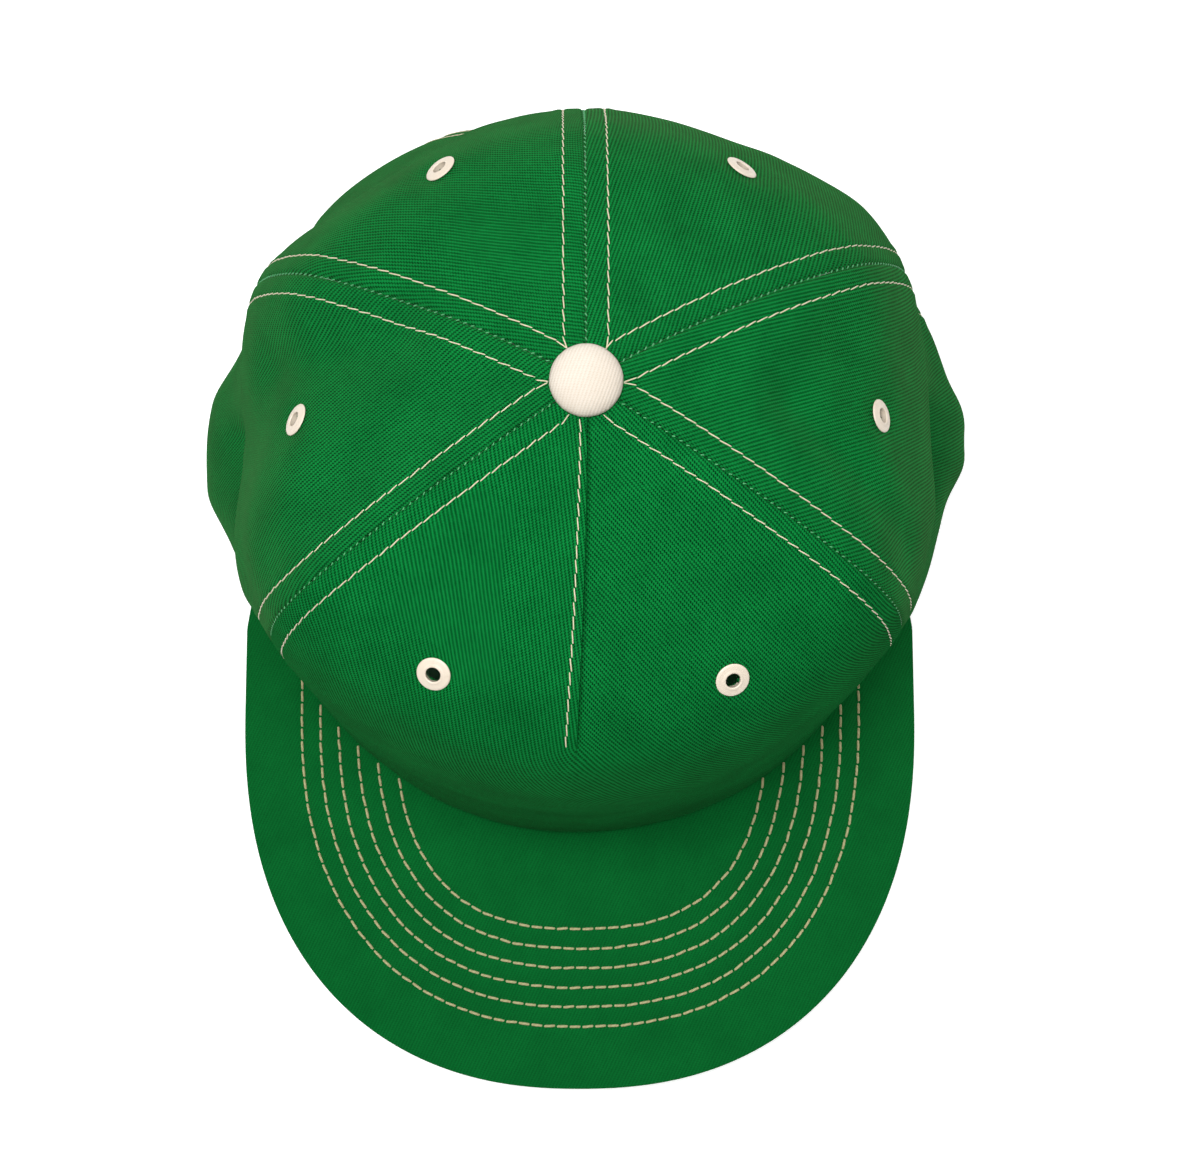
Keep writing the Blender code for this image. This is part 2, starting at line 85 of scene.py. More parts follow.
def curve(places: np.ndarray, values: np.ndarray, at: np.ndarray) -> np.ndarray:
    """Read smooth curves through rising places.

    Args:
        places: Rising places.
        values: Values at the places, along the last axis.
        at: Where to read the curves.

    Returns:
        The values there.
    """
    places = np.asarray(places, dtype=float)
    at = np.asarray(at, dtype=float)
    values = np.asarray(values, dtype=float)
    slopes = np.gradient(values, places, axis=-1)
    values = np.broadcast_to(values, at.shape + places.shape)
    slopes = np.broadcast_to(slopes, at.shape + places.shape)
    low = np.clip(np.searchsorted(places, at) - 1, 0, len(places) - 2)
    step = places[low + 1] - places[low]
    s = (at - places[low]) / step

    def pick(table: np.ndarray, index: np.ndarray) -> np.ndarray:
        """Take one value of the last axis at each place."""
        return np.take_along_axis(table, index[..., None], axis=-1)[..., 0]

    near = pick(values, low) * (1 + 2 * s) + pick(slopes, low) * step * s
    far = pick(values, low + 1) * (3 - 2 * s) - pick(slopes, low + 1) * step * (1 - s)
    return near * (1 - s) ** 2 + far * s**2


def ease(share: np.ndarray) -> np.ndarray:
    """Ease from 0 to 1 as share goes from 0 to 1."""
    share = np.clip(share, 0.0, 1.0)
    return share * share * (3 - 2 * share)


def ridge(distance: np.ndarray, width: float) -> np.ndarray:
    """Return a smooth bump, 1 at no distance and near 0 past its width."""
    return np.exp(-((distance / width) ** 2))


def wrapped(angle: np.ndarray) -> np.ndarray:
    """Return an angle in degrees brought between -180 and 180."""
    return (np.asarray(angle, dtype=float) + 180.0) % 360.0 - 180.0


def mirrored(angle: float) -> float:
    """Return an angle in degrees mirrored across the cap's middle."""
    return 2 * FRONT - angle


def in_plan(angle: np.ndarray, reach: np.ndarray) -> np.ndarray:
    """Return places in plan at angles in degrees and reaches from the button's axis."""
    turn = np.radians(angle)
    return np.stack([reach * np.cos(turn), reach * np.sin(turn)], axis=-1)


def level_out(angle: np.ndarray) -> np.ndarray:
    """Return level directions away from the button's axis at angles in degrees."""
    turn = np.radians(angle)
    return np.stack([np.cos(turn), np.sin(turn), np.zeros(np.shape(turn))], axis=-1)


def along_ribs(flat: np.ndarray, turn: float) -> np.ndarray:
    """Turn places on the flat cloth, whose ribs then run along the first coordinate."""
    return flat @ np.array([[math.cos(turn), -math.sin(turn)], [math.sin(turn), math.cos(turn)]])


def wavy(points: np.ndarray, seed: float) -> np.ndarray:
    """Return smooth noise at points, from about -1 to 1.

    Args:
        points: Two or three coordinates along the last axis, one wave to a unit.
        seed: Shifts the noise, so that two pieces differ.

    Returns:
        One value for each point.
    """
    flat = points.reshape(-1, points.shape[-1])
    if flat.shape[1] == 2:
        flat = np.column_stack([flat, np.zeros(len(flat))])
    flat = flat + np.array([seed, 1.7 * seed, -seed])
    return np.array([noise.noise(Vector(place)) for place in flat]).reshape(points.shape[:-1])


def unit(vectors: np.ndarray) -> np.ndarray:
    """Return vectors at length 1."""
    return vectors / np.maximum(np.linalg.norm(vectors, axis=-1, keepdims=True), 1e-12)


def deselect() -> None:
    """Leave edit mode and deselect everything."""
    if bpy.context.object and bpy.context.object.mode != "OBJECT":
        bpy.ops.object.mode_set(mode="OBJECT")
    bpy.ops.object.select_all(action="DESELECT")


def make_active(item: bpy.types.Object) -> None:
    """Select one object alone and make it active.

    Args:
        item: The object.
    """
    deselect()
    item.select_set(True)
    bpy.context.view_layer.objects.active = item


def apply_modifier(item: bpy.types.Object, kind: str, **settings: object) -> None:
    """Add a modifier to an object and apply it.

    Args:
        item: The object.
        kind: The modifier's type.
        settings: Its settings, by name.
    """
    make_active(item)
    modifier = item.modifiers.new(kind.title(), kind)
    for name, value in settings.items():
        setattr(modifier, name, value)
    bpy.ops.object.modifier_apply(modifier=modifier.name)


def apply_place(item: bpy.types.Object) -> None:
    """Move an object's place, turn and scale into its mesh."""
    make_active(item)
    bpy.ops.object.transform_apply(location=True, rotation=True, scale=True)


def smooth_shade(item: bpy.types.Object, sharp: float = SHARP_TURN) -> None:
    """Shade an object smooth, but for its sharp edges.

    Args:
        item: The object.
        sharp: The angle from which an edge is sharp, in degrees.
    """
    make_active(item)
    bpy.ops.object.shade_smooth_by_angle(angle=math.radians(sharp))
    deselect()


def thicken(item: bpy.types.Object, thickness: float, rounding: float, segments: int,
            clamp: bool = True) -> None:
    """Give a sheet its thickness, inwards, and round its edges.

    Args:
        item: The sheet.
        thickness: Its thickness.
        rounding: The width of its rounded edges.
        segments: How many faces round an edge.
        clamp: Keeps the rounded edges from crossing.
    """
    apply_modifier(item, "SOLIDIFY", thickness=thickness, offset=-1.0, use_rim=True)
    apply_modifier(item, "BEVEL", width=rounding, segments=segments, limit_method="ANGLE",
                   angle_limit=math.radians(SHARP_TURN), use_clamp_overlap=clamp)


def shaped_sheet(name: str, points: np.ndarray, flat: np.ndarray, middle: np.ndarray) -> bpy.types.Object:
    """Make a sheet from a grid primitive, shaped row by row, with the flat cloth as its UV map.

    Args:
        name: The object's name.
        points: Points of the sheet, as rows, columns and coordinates.
        flat: The same places on the flat cloth, as rows, columns and two coordinates.
        middle: A point that the sheet's face looks away from.

    Returns:
        The sheet.
    """
    rows, columns = points.shape[:2]
    deselect()
    bpy.ops.mesh.primitive_grid_add(x_subdivisions=columns - 1, y_subdivisions=rows - 1, size=2.0)
    sheet = bpy.context.object
    sheet.name = name
    mesh = sheet.data
    mesh.name = name
    start = np.zeros(len(mesh.vertices) * 3)
    mesh.vertices.foreach_get("co", start)
    start = start.reshape(-1, 3)
    column = np.rint((start[:, 0] + 1) / 2 * (columns - 1)).astype(int)
    row = np.rint((start[:, 1] + 1) / 2 * (rows - 1)).astype(int)
    mesh.vertices.foreach_set("co", points[row, column].ravel())
    corners = np.zeros(len(mesh.loops), dtype=np.int32)
    mesh.loops.foreach_get("vertex_index", corners)
    layer = mesh.uv_layers.active or mesh.uv_layers.new(name="Cloth")
    layer.name = "Cloth"
    layer.data.foreach_set("uv", flat[row, column][corners].astype(np.float32).ravel())
    mesh.update()
    normals = np.zeros(len(mesh.polygons) * 3)
    centres = np.zeros(len(mesh.polygons) * 3)
    mesh.polygons.foreach_get("normal", normals)
    mesh.polygons.foreach_get("center", centres)
    if np.sum(normals.reshape(-1, 3) * (centres.reshape(-1, 3) - middle)) < 0:
        make_active(sheet)
        bpy.ops.object.mode_set(mode="EDIT")
        bpy.ops.mesh.select_all(action="SELECT")
        bpy.ops.mesh.flip_normals()
        bpy.ops.object.mode_set(mode="OBJECT")
    deselect()
    return sheet


def punch_holes(item: bpy.types.Object, centres: Iterable[Vector], radius: float) -> None:
    """Cut holes in a sheet for its eyelets.

    Args:
        item: The sheet.
        centres: The holes' centres.
        radius: The holes' radius.
    """
    reach, drawn, spared = 1.2 * MM, 0.6 * MM, 0.1 * MM
    shape = bmesh.new()
    shape.from_mesh(item.data)
    for centre in centres:
        near = [vert for vert in shape.verts if (vert.co - centre).length < radius + reach]
        for vert in near:
            away = vert.co - centre
            if radius <= away.length < radius + drawn:
                vert.co = centre + away.normalized() * radius
        gone = [face for face in {face for vert in near for face in vert.link_faces}
                if (face.calc_center_median() - centre).length < radius - spared]
        bmesh.ops.delete(shape, geom=gone, context="FACES")
    shape.to_mesh(item.data)
    shape.free()


def finish_piece(item: bpy.types.Object, dress: "Finish", *nodes: str) -> None:
    """Give a piece its finish, and put it on the cap in place of its CAD nodes.

    Args:
        item: The piece.
        dress: Its finish.
        nodes: The CAD nodes that it stands for.
    """
    item.data.materials.clear()
    item.data.materials.append(dress.material())
    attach(item, BODY)
    if nodes:
        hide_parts(*nodes)
    log.info("%s: %d faces", item.name, len(item.data.polygons))


# Finishes


@dataclass
class Wiring:
    """Short ways to add and join shader nodes in one tree."""

    tree: bpy.types.ShaderNodeTree

    def node(self, kind: str, **settings: object) -> bpy.types.ShaderNode:
        """Add a node and set its properties.

        Args:
            kind: The node's type.
            settings: Its properties, by name.

        Returns:
            The node.
        """
        node = self.tree.nodes.new(kind)
        for name, value in settings.items():
            setattr(node, name, value)
        return node

    def join(self, source: object, target: bpy.types.NodeSocket) -> None:
        """Join a socket, or set a value, on an input.

        Args:
            source: A socket or a value.
            target: The input.
        """
        if isinstance(source, bpy.types.NodeSocket):
            self.tree.links.new(source, target)
        else:
            target.default_value = source

    def math(self, operation: str, first: object, second: object = 0.0, third: object = 0.0,
             clamp: bool = False) -> bpy.types.NodeSocket:
        """Add a Math node.

        Args:
            operation: Its operation.
            first: A socket or a number.
            second: A socket or a number.
            third: A socket or a number, for operations that take three.
            clamp: Keeps the result between 0 and 1.

        Returns:
            The node's result.
        """
        node = self.node("ShaderNodeMath", operation=operation, use_clamp=clamp)
        for socket, value in zip(node.inputs, (first, second, third)):
            self.join(value, socket)
        return node.outputs[0]

    def object_place(self) -> bpy.types.NodeSocket:
        """Return the place in the object's own coordinates."""
        return self.node("ShaderNodeTexCoord").outputs["Object"]

    def wave(self, phase: bpy.types.NodeSocket, operation: str = "COSINE") -> bpy.types.NodeSocket:
        """Return a wave from 0 to 1, for a phase in radians."""
        return self.math("MULTIPLY_ADD", self.math(operation, phase), 0.5, 0.5)

    def noise(self, vector: bpy.types.NodeSocket, scale: float, detail: float = 2.0,
              roughness: float = 0.5) -> bpy.types.NodeSocket:
        """Add a Noise Texture.

        Args:
            vector: The place to read it at.
            scale: Its scale.
            detail: Its detail.
            roughness: Its roughness.

        Returns:
            Its factor.
        """
        node = self.node("ShaderNodeTexNoise")
        self.join(vector, node.inputs["Vector"])
        node.inputs["Scale"].default_value = scale
        node.inputs["Detail"].default_value = detail
        node.inputs["Roughness"].default_value = roughness
        return node.outputs[0]

    def blend(self, share: object, first: object, second: object) -> bpy.types.NodeSocket:
        """Mix two colours.

        Args:
            share: The second colour's share.
            first: A socket or a colour.
            second: A socket or a colour.

        Returns:
            The mixed colour.
        """
        node = self.node("ShaderNodeMix", data_type="RGBA", clamp_factor=True)
        self.join(share, node.inputs[0])
        self.join(first, node.inputs[6])
        self.join(second, node.inputs[7])
        return node.outputs[2]

    def map_range(self, value: bpy.types.NodeSocket, low: float, high: float, to_low: float,
                  to_high: float) -> bpy.types.NodeSocket:
        """Map a value from one range to another, and hold it there.

        Args:
            value: The value.
            low: The start of its range.
            high: The end of its range.
            to_low: The result at the start.
            to_high: The result at the end.

        Returns:
            The mapped value.
        """
        node = self.node("ShaderNodeMapRange", clamp=True)
        self.join(value, node.inputs[0])
        for socket, number in zip(node.inputs[1:5], (low, high, to_low, to_high)):
            socket.default_value = number
        return node.outputs[0]

    def bump(self, height: bpy.types.NodeSocket, strength: float, distance: float) -> bpy.types.NodeSocket:
        """Add a Bump node.

        Args:
            height: The height, from 0 to 1.
            strength: The bump's strength.
            distance: The height of 1, in metres.

        Returns:
            The bumped normal.
        """
        node = self.node("ShaderNodeBump")
        node.inputs["Strength"].default_value = strength
        node.inputs["Distance"].default_value = distance
        self.join(height, node.inputs["Height"])
        return node.outputs[0]


def start_group(name: str, inputs: dict[str, float | None], outputs: Iterable[str]) -> Wiring:
    """Start a shader node group.

    Args:
        name: The group's name.
        inputs: Name of each input with its default, or None for a place.
        outputs: Names of the values that it puts out.

    Returns:
        The wiring of the group, which has its input and output nodes.
    """
    group = bpy.data.node_groups.new(name, "ShaderNodeTree")
    for label, default in inputs.items():
        kind = "NodeSocketVector" if default is None else "NodeSocketFloat"
        socket = group.interface.new_socket(name=label, in_out="INPUT", socket_type=kind)
        if default is not None:
            socket.default_value = default
    for label in outputs:
        group.interface.new_socket(name=label, in_out="OUTPUT", socket_type="NodeSocketFloat")
    group.nodes.new("NodeGroupInput").name = "In"
    group.nodes.new("NodeGroupOutput").name = "Out"
    return Wiring(group)


# Where a value starts and ends, and what it becomes there
Spread = tuple[float, float, float, float]


class TwillWeave:
    """Node group of the woven twill, shared by every cloth finish.

    STEP is how far the crossings move on from one rib to the next, as a share of their pitch. SLOW, QUICK,
    PATCHES, FIBRES and CLOUDS are scales of noise.
    """

    NAME = "Twill weave"
    STEP = 0.37
    SLOW, QUICK = 0.16, 0.9
    QUICK_SHARE, CROSSING_DRIFT = 0.6, 0.8
    VALLEY_POWER = 1.1
    # How the painted groove shade falls: the depth and floor of its spots, and a slight shade at every
    # crossing
    DOT_DEPTH, DOT_FLOOR, DOT_FAINT = 0.80, 0.20, 0.16
    PATCHES, UNEVENNESS = 1.1, (0.3, 0.7, 0.65, 1.35)
    CROSSING_DIP = -0.30
    FIBRES, FIBRE_HEIGHT = 2.6, 0.25
    CLOUDS = 0.07

    @classmethod
    def get(cls) -> bpy.types.ShaderNodeTree:
        """Return the group, made at its first use.

        Its place is one on the flat cloth, in metres, with the ribs along the first coordinate. The pitches
        and all scales inside it are in millimetres. Rib is the height of the yarn, the groove output the
        painted shade between ribs and at their crossings, Fuzz the loose fibres and Cloud the slow change of
        tone at random.

        Returns:
            The group.
        """
        if cls.NAME in bpy.data.node_groups:
            return bpy.data.node_groups[cls.NAME]
        wire = start_group(cls.NAME, {"Cloth": None, "Rib pitch": 0.8, "Crossing pitch": 0.6, "Wander": 0.25},
                           ("Rib", "Groove", "Fuzz", "Cloud"))
        inputs = wire.tree.nodes["In"].outputs
        outputs = wire.tree.nodes["Out"].inputs
        place = wire.node("ShaderNodeVectorMath", operation="SCALE")
        wire.join(inputs["Cloth"], place.inputs[0])
        place.inputs["Scale"].default_value = 1 / MM
        place = place.outputs[0]
        parts = wire.node("ShaderNodeSeparateXYZ")
        wire.join(place, parts.inputs[0])
        slow = wire.math("SUBTRACT", wire.noise(place, cls.SLOW), 0.5)
        quick = wire.math("SUBTRACT", wire.noise(place, cls.QUICK, detail=1.0), 0.5)
        drift = wire.math("MULTIPLY_ADD", quick, cls.QUICK_SHARE, slow)
        across = wire.math("DIVIDE", parts.outputs[1], inputs["Rib pitch"])
        across = wire.math("MULTIPLY_ADD", drift, inputs["Wander"], across)
        along = wire.math("DIVIDE", parts.outputs[0], inputs["Crossing pitch"])
        along = wire.math("MULTIPLY_ADD", slow, cls.CROSSING_DRIFT, along)
        rib = wire.wave(wire.math("MULTIPLY", across, math.tau))
        number = wire.math("FLOOR", wire.math("ADD", across, 0.5))
        stepped = wire.math("MULTIPLY_ADD", number, cls.STEP, along)
        crossing = wire.wave(wire.math("MULTIPLY", stepped, math.tau))
        # Painted shade in the grooves: deepest where the ribs are low, more at their crossings, uneven in
        # patches, with a slight shade over every crossing
        valley = wire.math("POWER", wire.math("SUBTRACT", 1.0, rib), cls.VALLEY_POWER)
        shade_dots = wire.math("MULTIPLY_ADD", crossing, cls.DOT_DEPTH, cls.DOT_FLOOR)
        shade_dots = wire.math("MULTIPLY", valley, shade_dots)
        uneven = wire.noise(place, cls.PATCHES, detail=2.0, roughness=0.6)
        uneven = wire.map_range(uneven, *cls.UNEVENNESS)
        faint_shade = wire.math("MULTIPLY", crossing, cls.DOT_FAINT)
        wire.join(wire.math("MULTIPLY_ADD", shade_dots, uneven, faint_shade), outputs["Groove"])
        fibres = wire.noise(place, cls.FIBRES, detail=3.0, roughness=0.7)
        yarn = wire.math("MULTIPLY_ADD", crossing, cls.CROSSING_DIP, rib)
        wire.join(wire.math("MULTIPLY_ADD", fibres, cls.FIBRE_HEIGHT, yarn), outputs["Rib"])
        wire.join(fibres, outputs["Fuzz"])
        wire.join(wire.noise(place, cls.CLOUDS, detail=4.0, roughness=0.65), outputs["Cloud"])
        return wire.tree


@dataclass(frozen=True)
class Finish:
    """A finish: its name and its slot in the record."""

    name: str
    slot: Slot

    def dress(self, wire: Wiring, shader: bpy.types.ShaderNode) -> None:
        """Wire the finish into its shader."""
        raise NotImplementedError

    def material(self) -> bpy.types.Material:
        """Return the material, made at its first use.

        Returns:
            The material.
        """
        if self.name in bpy.data.materials:
            return bpy.data.materials[self.name]
        material = bpy.data.materials.new(self.name)
        material.use_nodes = True
        self.dress(Wiring(material.node_tree), material.node_tree.nodes["Principled BSDF"])
        return material


@dataclass(frozen=True)
class ClothFinish(Finish):
    """A twill cloth: colours of its ribs, of the painted shade in its grooves, of its loose fibres and of its
    nap, and how strongly the painted groove shade shows.

    Clouds darken it in random patches with the groove colour, and loose fibres tint it with theirs.
    """

    rib: tuple[float, float, float]
    groove: tuple[float, float, float]
    fuzz: tuple[float, float, float]
    nap: tuple[float, float, float] = (0.160, 0.260, 0.110)
    contrast: float = 1.0
    relief: float = 0.00012
    bump: float = 0.6
    sheen: float = 0.21
    sheen_roughness: float = 0.55
    roughness: float = 0.92
    clouds: Spread = (0.35, 0.68, 0.0, 0.27)
    loose: Spread = (0.56, 0.75, 0.0, 0.35)

    def dress(self, wire: Wiring, shader: bpy.types.ShaderNode) -> None:
        """Wire the finish into its shader.

        Args:
            wire: The material's wiring.
            shader: Its shader.
        """
        twill = wire.node("ShaderNodeGroup", node_tree=TwillWeave.get())
        wire.join(wire.node("ShaderNodeUVMap", uv_map="Cloth").outputs[0], twill.inputs["Cloth"])
        # Painted shade: the groove colour is blended in by the weave's groove shade output, scaled by the
        # contrast
        painted_shade = wire.math("MULTIPLY", twill.outputs["Groove"], self.contrast, clamp=True)
        colour = wire.blend(painted_shade, (*self.rib, 1.0), (*self.groove, 1.0))
        cloud = wire.map_range(twill.outputs["Cloud"], *self.clouds)
        colour = wire.blend(cloud, colour, (*self.groove, 1.0))
        loose = wire.map_range(twill.outputs["Fuzz"], *self.loose)
        wire.join(wire.blend(loose, colour, (*self.fuzz, 1.0)), shader.inputs["Base Color"])
        wire.join(wire.bump(twill.outputs["Rib"], self.bump, self.relief), shader.inputs["Normal"])
        shader.inputs["Roughness"].default_value = self.roughness
        shader.inputs["Specular IOR Level"].default_value = 0.0
        shader.inputs["Sheen Weight"].default_value = self.sheen
        shader.inputs["Sheen Roughness"].default_value = self.sheen_roughness
        shader.inputs["Sheen Tint"].default_value = (*self.nap, 1.0)


@dataclass(frozen=True)
class ThreadFinish(Finish):
    """Sewing thread: its colour, the shade between its plies and their twist, in radians to a metre."""

    colour: tuple[float, float, float]
    shade: tuple[float, float, float]
    twist: float = 5200.0
    relief: float = 0.00008
    bump: float = 0.5
    specks: float = 700.0
    darkest: float = 0.9
    roughness: float = 0.75
    shine: float = 0.25
    sheen: float = 0.2

    def dress(self, wire: Wiring, shader: bpy.types.ShaderNode) -> None:
        """Wire the finish into its shader.

        Args:
            wire: The material's wiring.
            shader: Its shader.
        """
        parts = wire.node("ShaderNodeSeparateXYZ")
        wire.join(wire.node("ShaderNodeUVMap", uv_map="Thread").outputs[0], parts.inputs[0])
        turn = wire.math("MULTIPLY_ADD", parts.outputs[0], self.twist,
                         wire.math("MULTIPLY", parts.outputs[1], math.tau))
        plies = wire.wave(turn, "SINE")
        specks = wire.math("MULTIPLY", wire.noise(wire.object_place(), self.specks), self.darkest)
        painted_shade = wire.math("MULTIPLY", wire.math("SUBTRACT", 1.0, plies), specks)
        wire.join(wire.blend(painted_shade, (*self.colour, 1.0), (*self.shade, 1.0)), shader.inputs["Base Color"])
        wire.join(wire.bump(plies, self.bump, self.relief), shader.inputs["Normal"])
        shader.inputs["Roughness"].default_value = self.roughness
        shader.inputs["Specular IOR Level"].default_value = self.shine
        shader.inputs["Sheen Weight"].default_value = self.sheen


@dataclass(frozen=True)
class EnamelFinish(Finish):
    """Enamel on metal, with light wear."""

    colour: tuple[float, float, float]
    worn: tuple[float, float, float]
    relief: float = 0.00005
    bump: float = 0.15
    patches: float = 420.0
    wear: Spread = (0.58, 0.75, 0.0, 0.5)
    roughness: Spread = (0.3, 0.7, 0.32, 0.48)

    def dress(self, wire: Wiring, shader: bpy.types.ShaderNode) -> None:
        """Wire the finish into its shader.

        Args:
            wire: The material's wiring.
            shader: Its shader.
        """
        patches = wire.noise(wire.object_place(), self.patches, detail=4.0, roughness=0.6)
        wear = wire.map_range(patches, *self.wear)
        wire.join(wire.blend(wear, (*self.colour, 1.0), (*self.worn, 1.0)), shader.inputs["Base Color"])
        wire.join(wire.map_range(patches, *self.roughness), shader.inputs["Roughness"])
        wire.join(wire.bump(patches, self.bump, self.relief), shader.inputs["Normal"])


# Each cloth's groove colour is the painted shade between its ribs; the clouds also blend it in at random
# patches
CROWN_TWILL = ClothFinish("crown_twill", Slot.GREEN_TWILL, rib=(0.0036, 0.1950, 0.0370),
                          groove=(0.0003, 0.0140, 0.0034), fuzz=(0.0200, 0.2200, 0.0600), contrast=1.25)
FRONT_TWILL = replace(CROWN_TWILL, name="front_twill", sheen=0.05)
PEAK_TWILL = ClothFinish("peak_twill", Slot.GREEN_TWILL, rib=(0.0027, 0.1330, 0.0240),
                         groove=(0.0008, 0.0460, 0.0090), fuzz=(0.0120, 0.1600, 0.0380), contrast=0.62,
                         relief=0.00007)
BUTTON_TWILL = ClothFinish("button_twill", Slot.CREAM_TWILL, rib=(0.660, 0.600, 0.525),
                           groove=(0.480, 0.395, 0.305), fuzz=(0.720, 0.680, 0.610),
                           nap=(0.720, 0.690, 0.640), contrast=0.55, relief=0.00009, sheen=0.04)
CROWN_THREAD = ThreadFinish("crown_thread", Slot.CREAM_TWILL, (0.680, 0.600, 0.440), (0.420, 0.330, 0.180))
PEAK_THREAD = ThreadFinish("peak_thread", Slot.CREAM_TWILL, (0.460, 0.420, 0.220), (0.280, 0.250, 0.100))
SEAM_THREAD = ThreadFinish("seam_thread", Slot.GREEN_TWILL, (0.080, 0.380, 0.150), (0.020, 0.200, 0.060))
EYELET_ENAMEL = EnamelFinish("eyelet_enamel", Slot.CREAM_ENAMEL, (0.680, 0.590, 0.480), (0.560, 0.460, 0.340))


# The crown's shape


@dataclass(frozen=True)
class Fold:
    """A soft fold or dent: its two ends, and its width and lift as shares of the crown's height."""

    angle_a: float
    down_a: float
    angle_b: float
    down_b: float
    width: float
    lift: float

    def lifted(self, place: np.ndarray) -> np.ndarray:
        """Return its lift at places on the crown rolled out flat.

        Args:
            place: The places, with down as their distance from the button.

        Returns:
            The lift, as a share of the crown's height.
        """
        a, b = in_plan(self.angle_a, self.down_a), in_plan(self.angle_b, self.down_b)
        run = b - a
        share = np.clip(((place - a) @ run) / (run @ run), 0.0, 1.0)
        return self.lift * ridge(np.linalg.norm(place - a - share[..., None] * run, axis=-1), self.width)


@dataclass(frozen=True)
class Seam:
    """A seam or dart of the crown: its angle at the button and at the rim."""

    top: float
    rim: float

    def angle(self, down: np.ndarray) -> np.ndarray:
        """Return the seam's angle at down."""
        return self.rim + wrapped(self.top - self.rim) * (1 - np.asarray(down)) ** 3

    def past(self, turns: float) -> "Seam":
        """Return the same seam with whole turns added."""
        return Seam(self.top + 360.0 * turns, self.rim + 360.0 * turns)


@dataclass
class CrownShape:
    """The crown's outer face: sizes, sections and folds, and the peak's sizes that its front stands on."""

    axis: np.ndarray
    height: float = 0.130
    front_reach: float = 0.0965
    back_reach: float = 0.095
    half_width: float = 0.090
    cloth: float = 0.0018
    hem: float = 0.006
    rest_gap: float = 0.0004
    peak_half_width: float = 0.0902
    peak_length: float = 0.0665
    peak_thickness: float = 0.0030
    peak_rise: float = 0.017
    peak_tip_height: float = 0.010
    peak_corner: float = 196.0
    corner_margin: float = 3.0
    corner_blend: float = 11.0
    frontal_start: float = 80.0
    frontal_span: float = 60.0
    section_step: float = 0.01
    slope_down: float = 0.006
    slope_turn: float = 0.6
    halvings: int = 20
    directions: tuple[float, ...] = (0.0, 33.0, 66.0, 90.0, 122.0, 150.0, 180.0)
    # Rows of down, drop behind and in front, and the reach in each direction from the back to the front
    sections: tuple[tuple[float, ...], ...] = (
        (0.00, 0.000, 0.000, 0.000, 0.000, 0.000, 0.000, 0.000, 0.000, 0.000),
        (0.12, 0.012, 0.004, 0.211, 0.214, 0.226, 0.222, 0.224, 0.211, 0.207),
        (0.24, 0.046, 0.016, 0.416, 0.428, 0.457, 0.444, 0.458, 0.428, 0.420),
        (0.34, 0.100, 0.046, 0.568, 0.584, 0.639, 0.622, 0.654, 0.612, 0.601),
        (0.43, 0.184, 0.100, 0.674, 0.698, 0.782, 0.761, 0.812, 0.755, 0.751),
        (0.50, 0.298, 0.178, 0.754, 0.780, 0.876, 0.850, 0.900, 0.850, 0.845),
        (0.57, 0.408, 0.300, 0.806, 0.832, 0.932, 0.898, 0.949, 0.908, 0.902),
        (0.65, 0.515, 0.440, 0.845, 0.878, 0.958, 0.926, 0.967, 0.940, 0.933),
        (0.74, 0.645, 0.590, 0.889, 0.921, 0.982, 0.969, 0.977, 0.956, 0.950),
        (0.83, 0.770, 0.735, 0.932, 0.967, 1.007, 1.022, 0.988, 0.969, 0.966),
        (0.92, 0.893, 0.878, 0.972, 0.996, 1.018, 1.038, 0.996, 0.982, 0.984),
        (1.00, 1.000, 1.000, 1.000, 1.000, 1.000, 1.000, 1.000, 1.000, 1.000),
    )
    folds: tuple[Fold, ...] = (
        Fold(176.0, 0.34, 187.0, 0.60, 0.095, -0.022),
        Fold(164.0, 0.26, 172.0, 0.46, 0.050, -0.024),
        Fold(186.0, 0.20, 207.0, 0.46, 0.040, -0.008),
        Fold(186.0, 0.60, 207.0, 0.60, 0.040, 0.010),
        Fold(180.0, 0.71, 198.0, 0.70, 0.050, -0.028),
        Fold(172.0, 0.87, 185.0, 0.86, 0.095, 0.034),
        Fold(356.0, 0.27, 336.0, 0.48, 0.035, -0.014),
        Fold(4.0, 0.34, 348.0, 0.48, 0.080, -0.010),
        Fold(14.0, 0.36, 10.0, 0.54, 0.050, -0.008),
        Fold(6.0, 0.57, 346.0, 0.58, 0.055, 0.010),
        Fold(4.0, 0.69, 352.0, 0.71, 0.045, -0.023),
        Fold(20.0, 0.86, 334.0, 0.83, 0.090, 0.018),
        Fold(24.0, 0.82, 10.0, 0.86, 0.070, 0.020),
        Fold(4.0, 0.87, 0.0, 0.86, 0.090, 0.044),
        Fold(126.0, 0.62, 137.0, 0.60, 0.115, -0.042),
        Fold(112.0, 0.20, 118.0, 0.34, 0.080, -0.008),
        Fold(106.0, 0.92, 136.0, 0.90, 0.090, 0.023),
        Fold(54.0, 0.55, 40.0, 0.60, 0.060, 0.010),
        Fold(36.0, 0.64, 46.0, 0.66, 0.110, 0.017),
    )

    def section(self, down: np.ndarray) -> np.ndarray:
        """Return the crown's section.

        Args:
            down: Shares of the way to the rim.

        Returns:
            Both drops and the seven reaches at down, along the last axis.
        """
        rows = np.array(self.sections)
        mirrored = np.concatenate([-rows[1, :1], rows[1, 1:3], -rows[1, 3:]])
        rows = np.vstack([mirrored, rows])
        columns = range(1, rows.shape[1])
        return np.stack([curve(rows[:, 0], rows[:, column], down) for column in columns], axis=-1)

    def rim_reach(self, angle: np.ndarray) -> np.ndarray:
        """Return the distance from the button's axis to the rim.

        Args:
            angle: Angles round the button.

        Returns:
            The distance at each angle.
        """
        across, along = np.cos(np.radians(angle)), np.sin(np.radians(angle))
        return 1.0 / np.hypot(across / self.half_width,
                              along / np.where(along > 0, self.back_reach, self.front_reach))

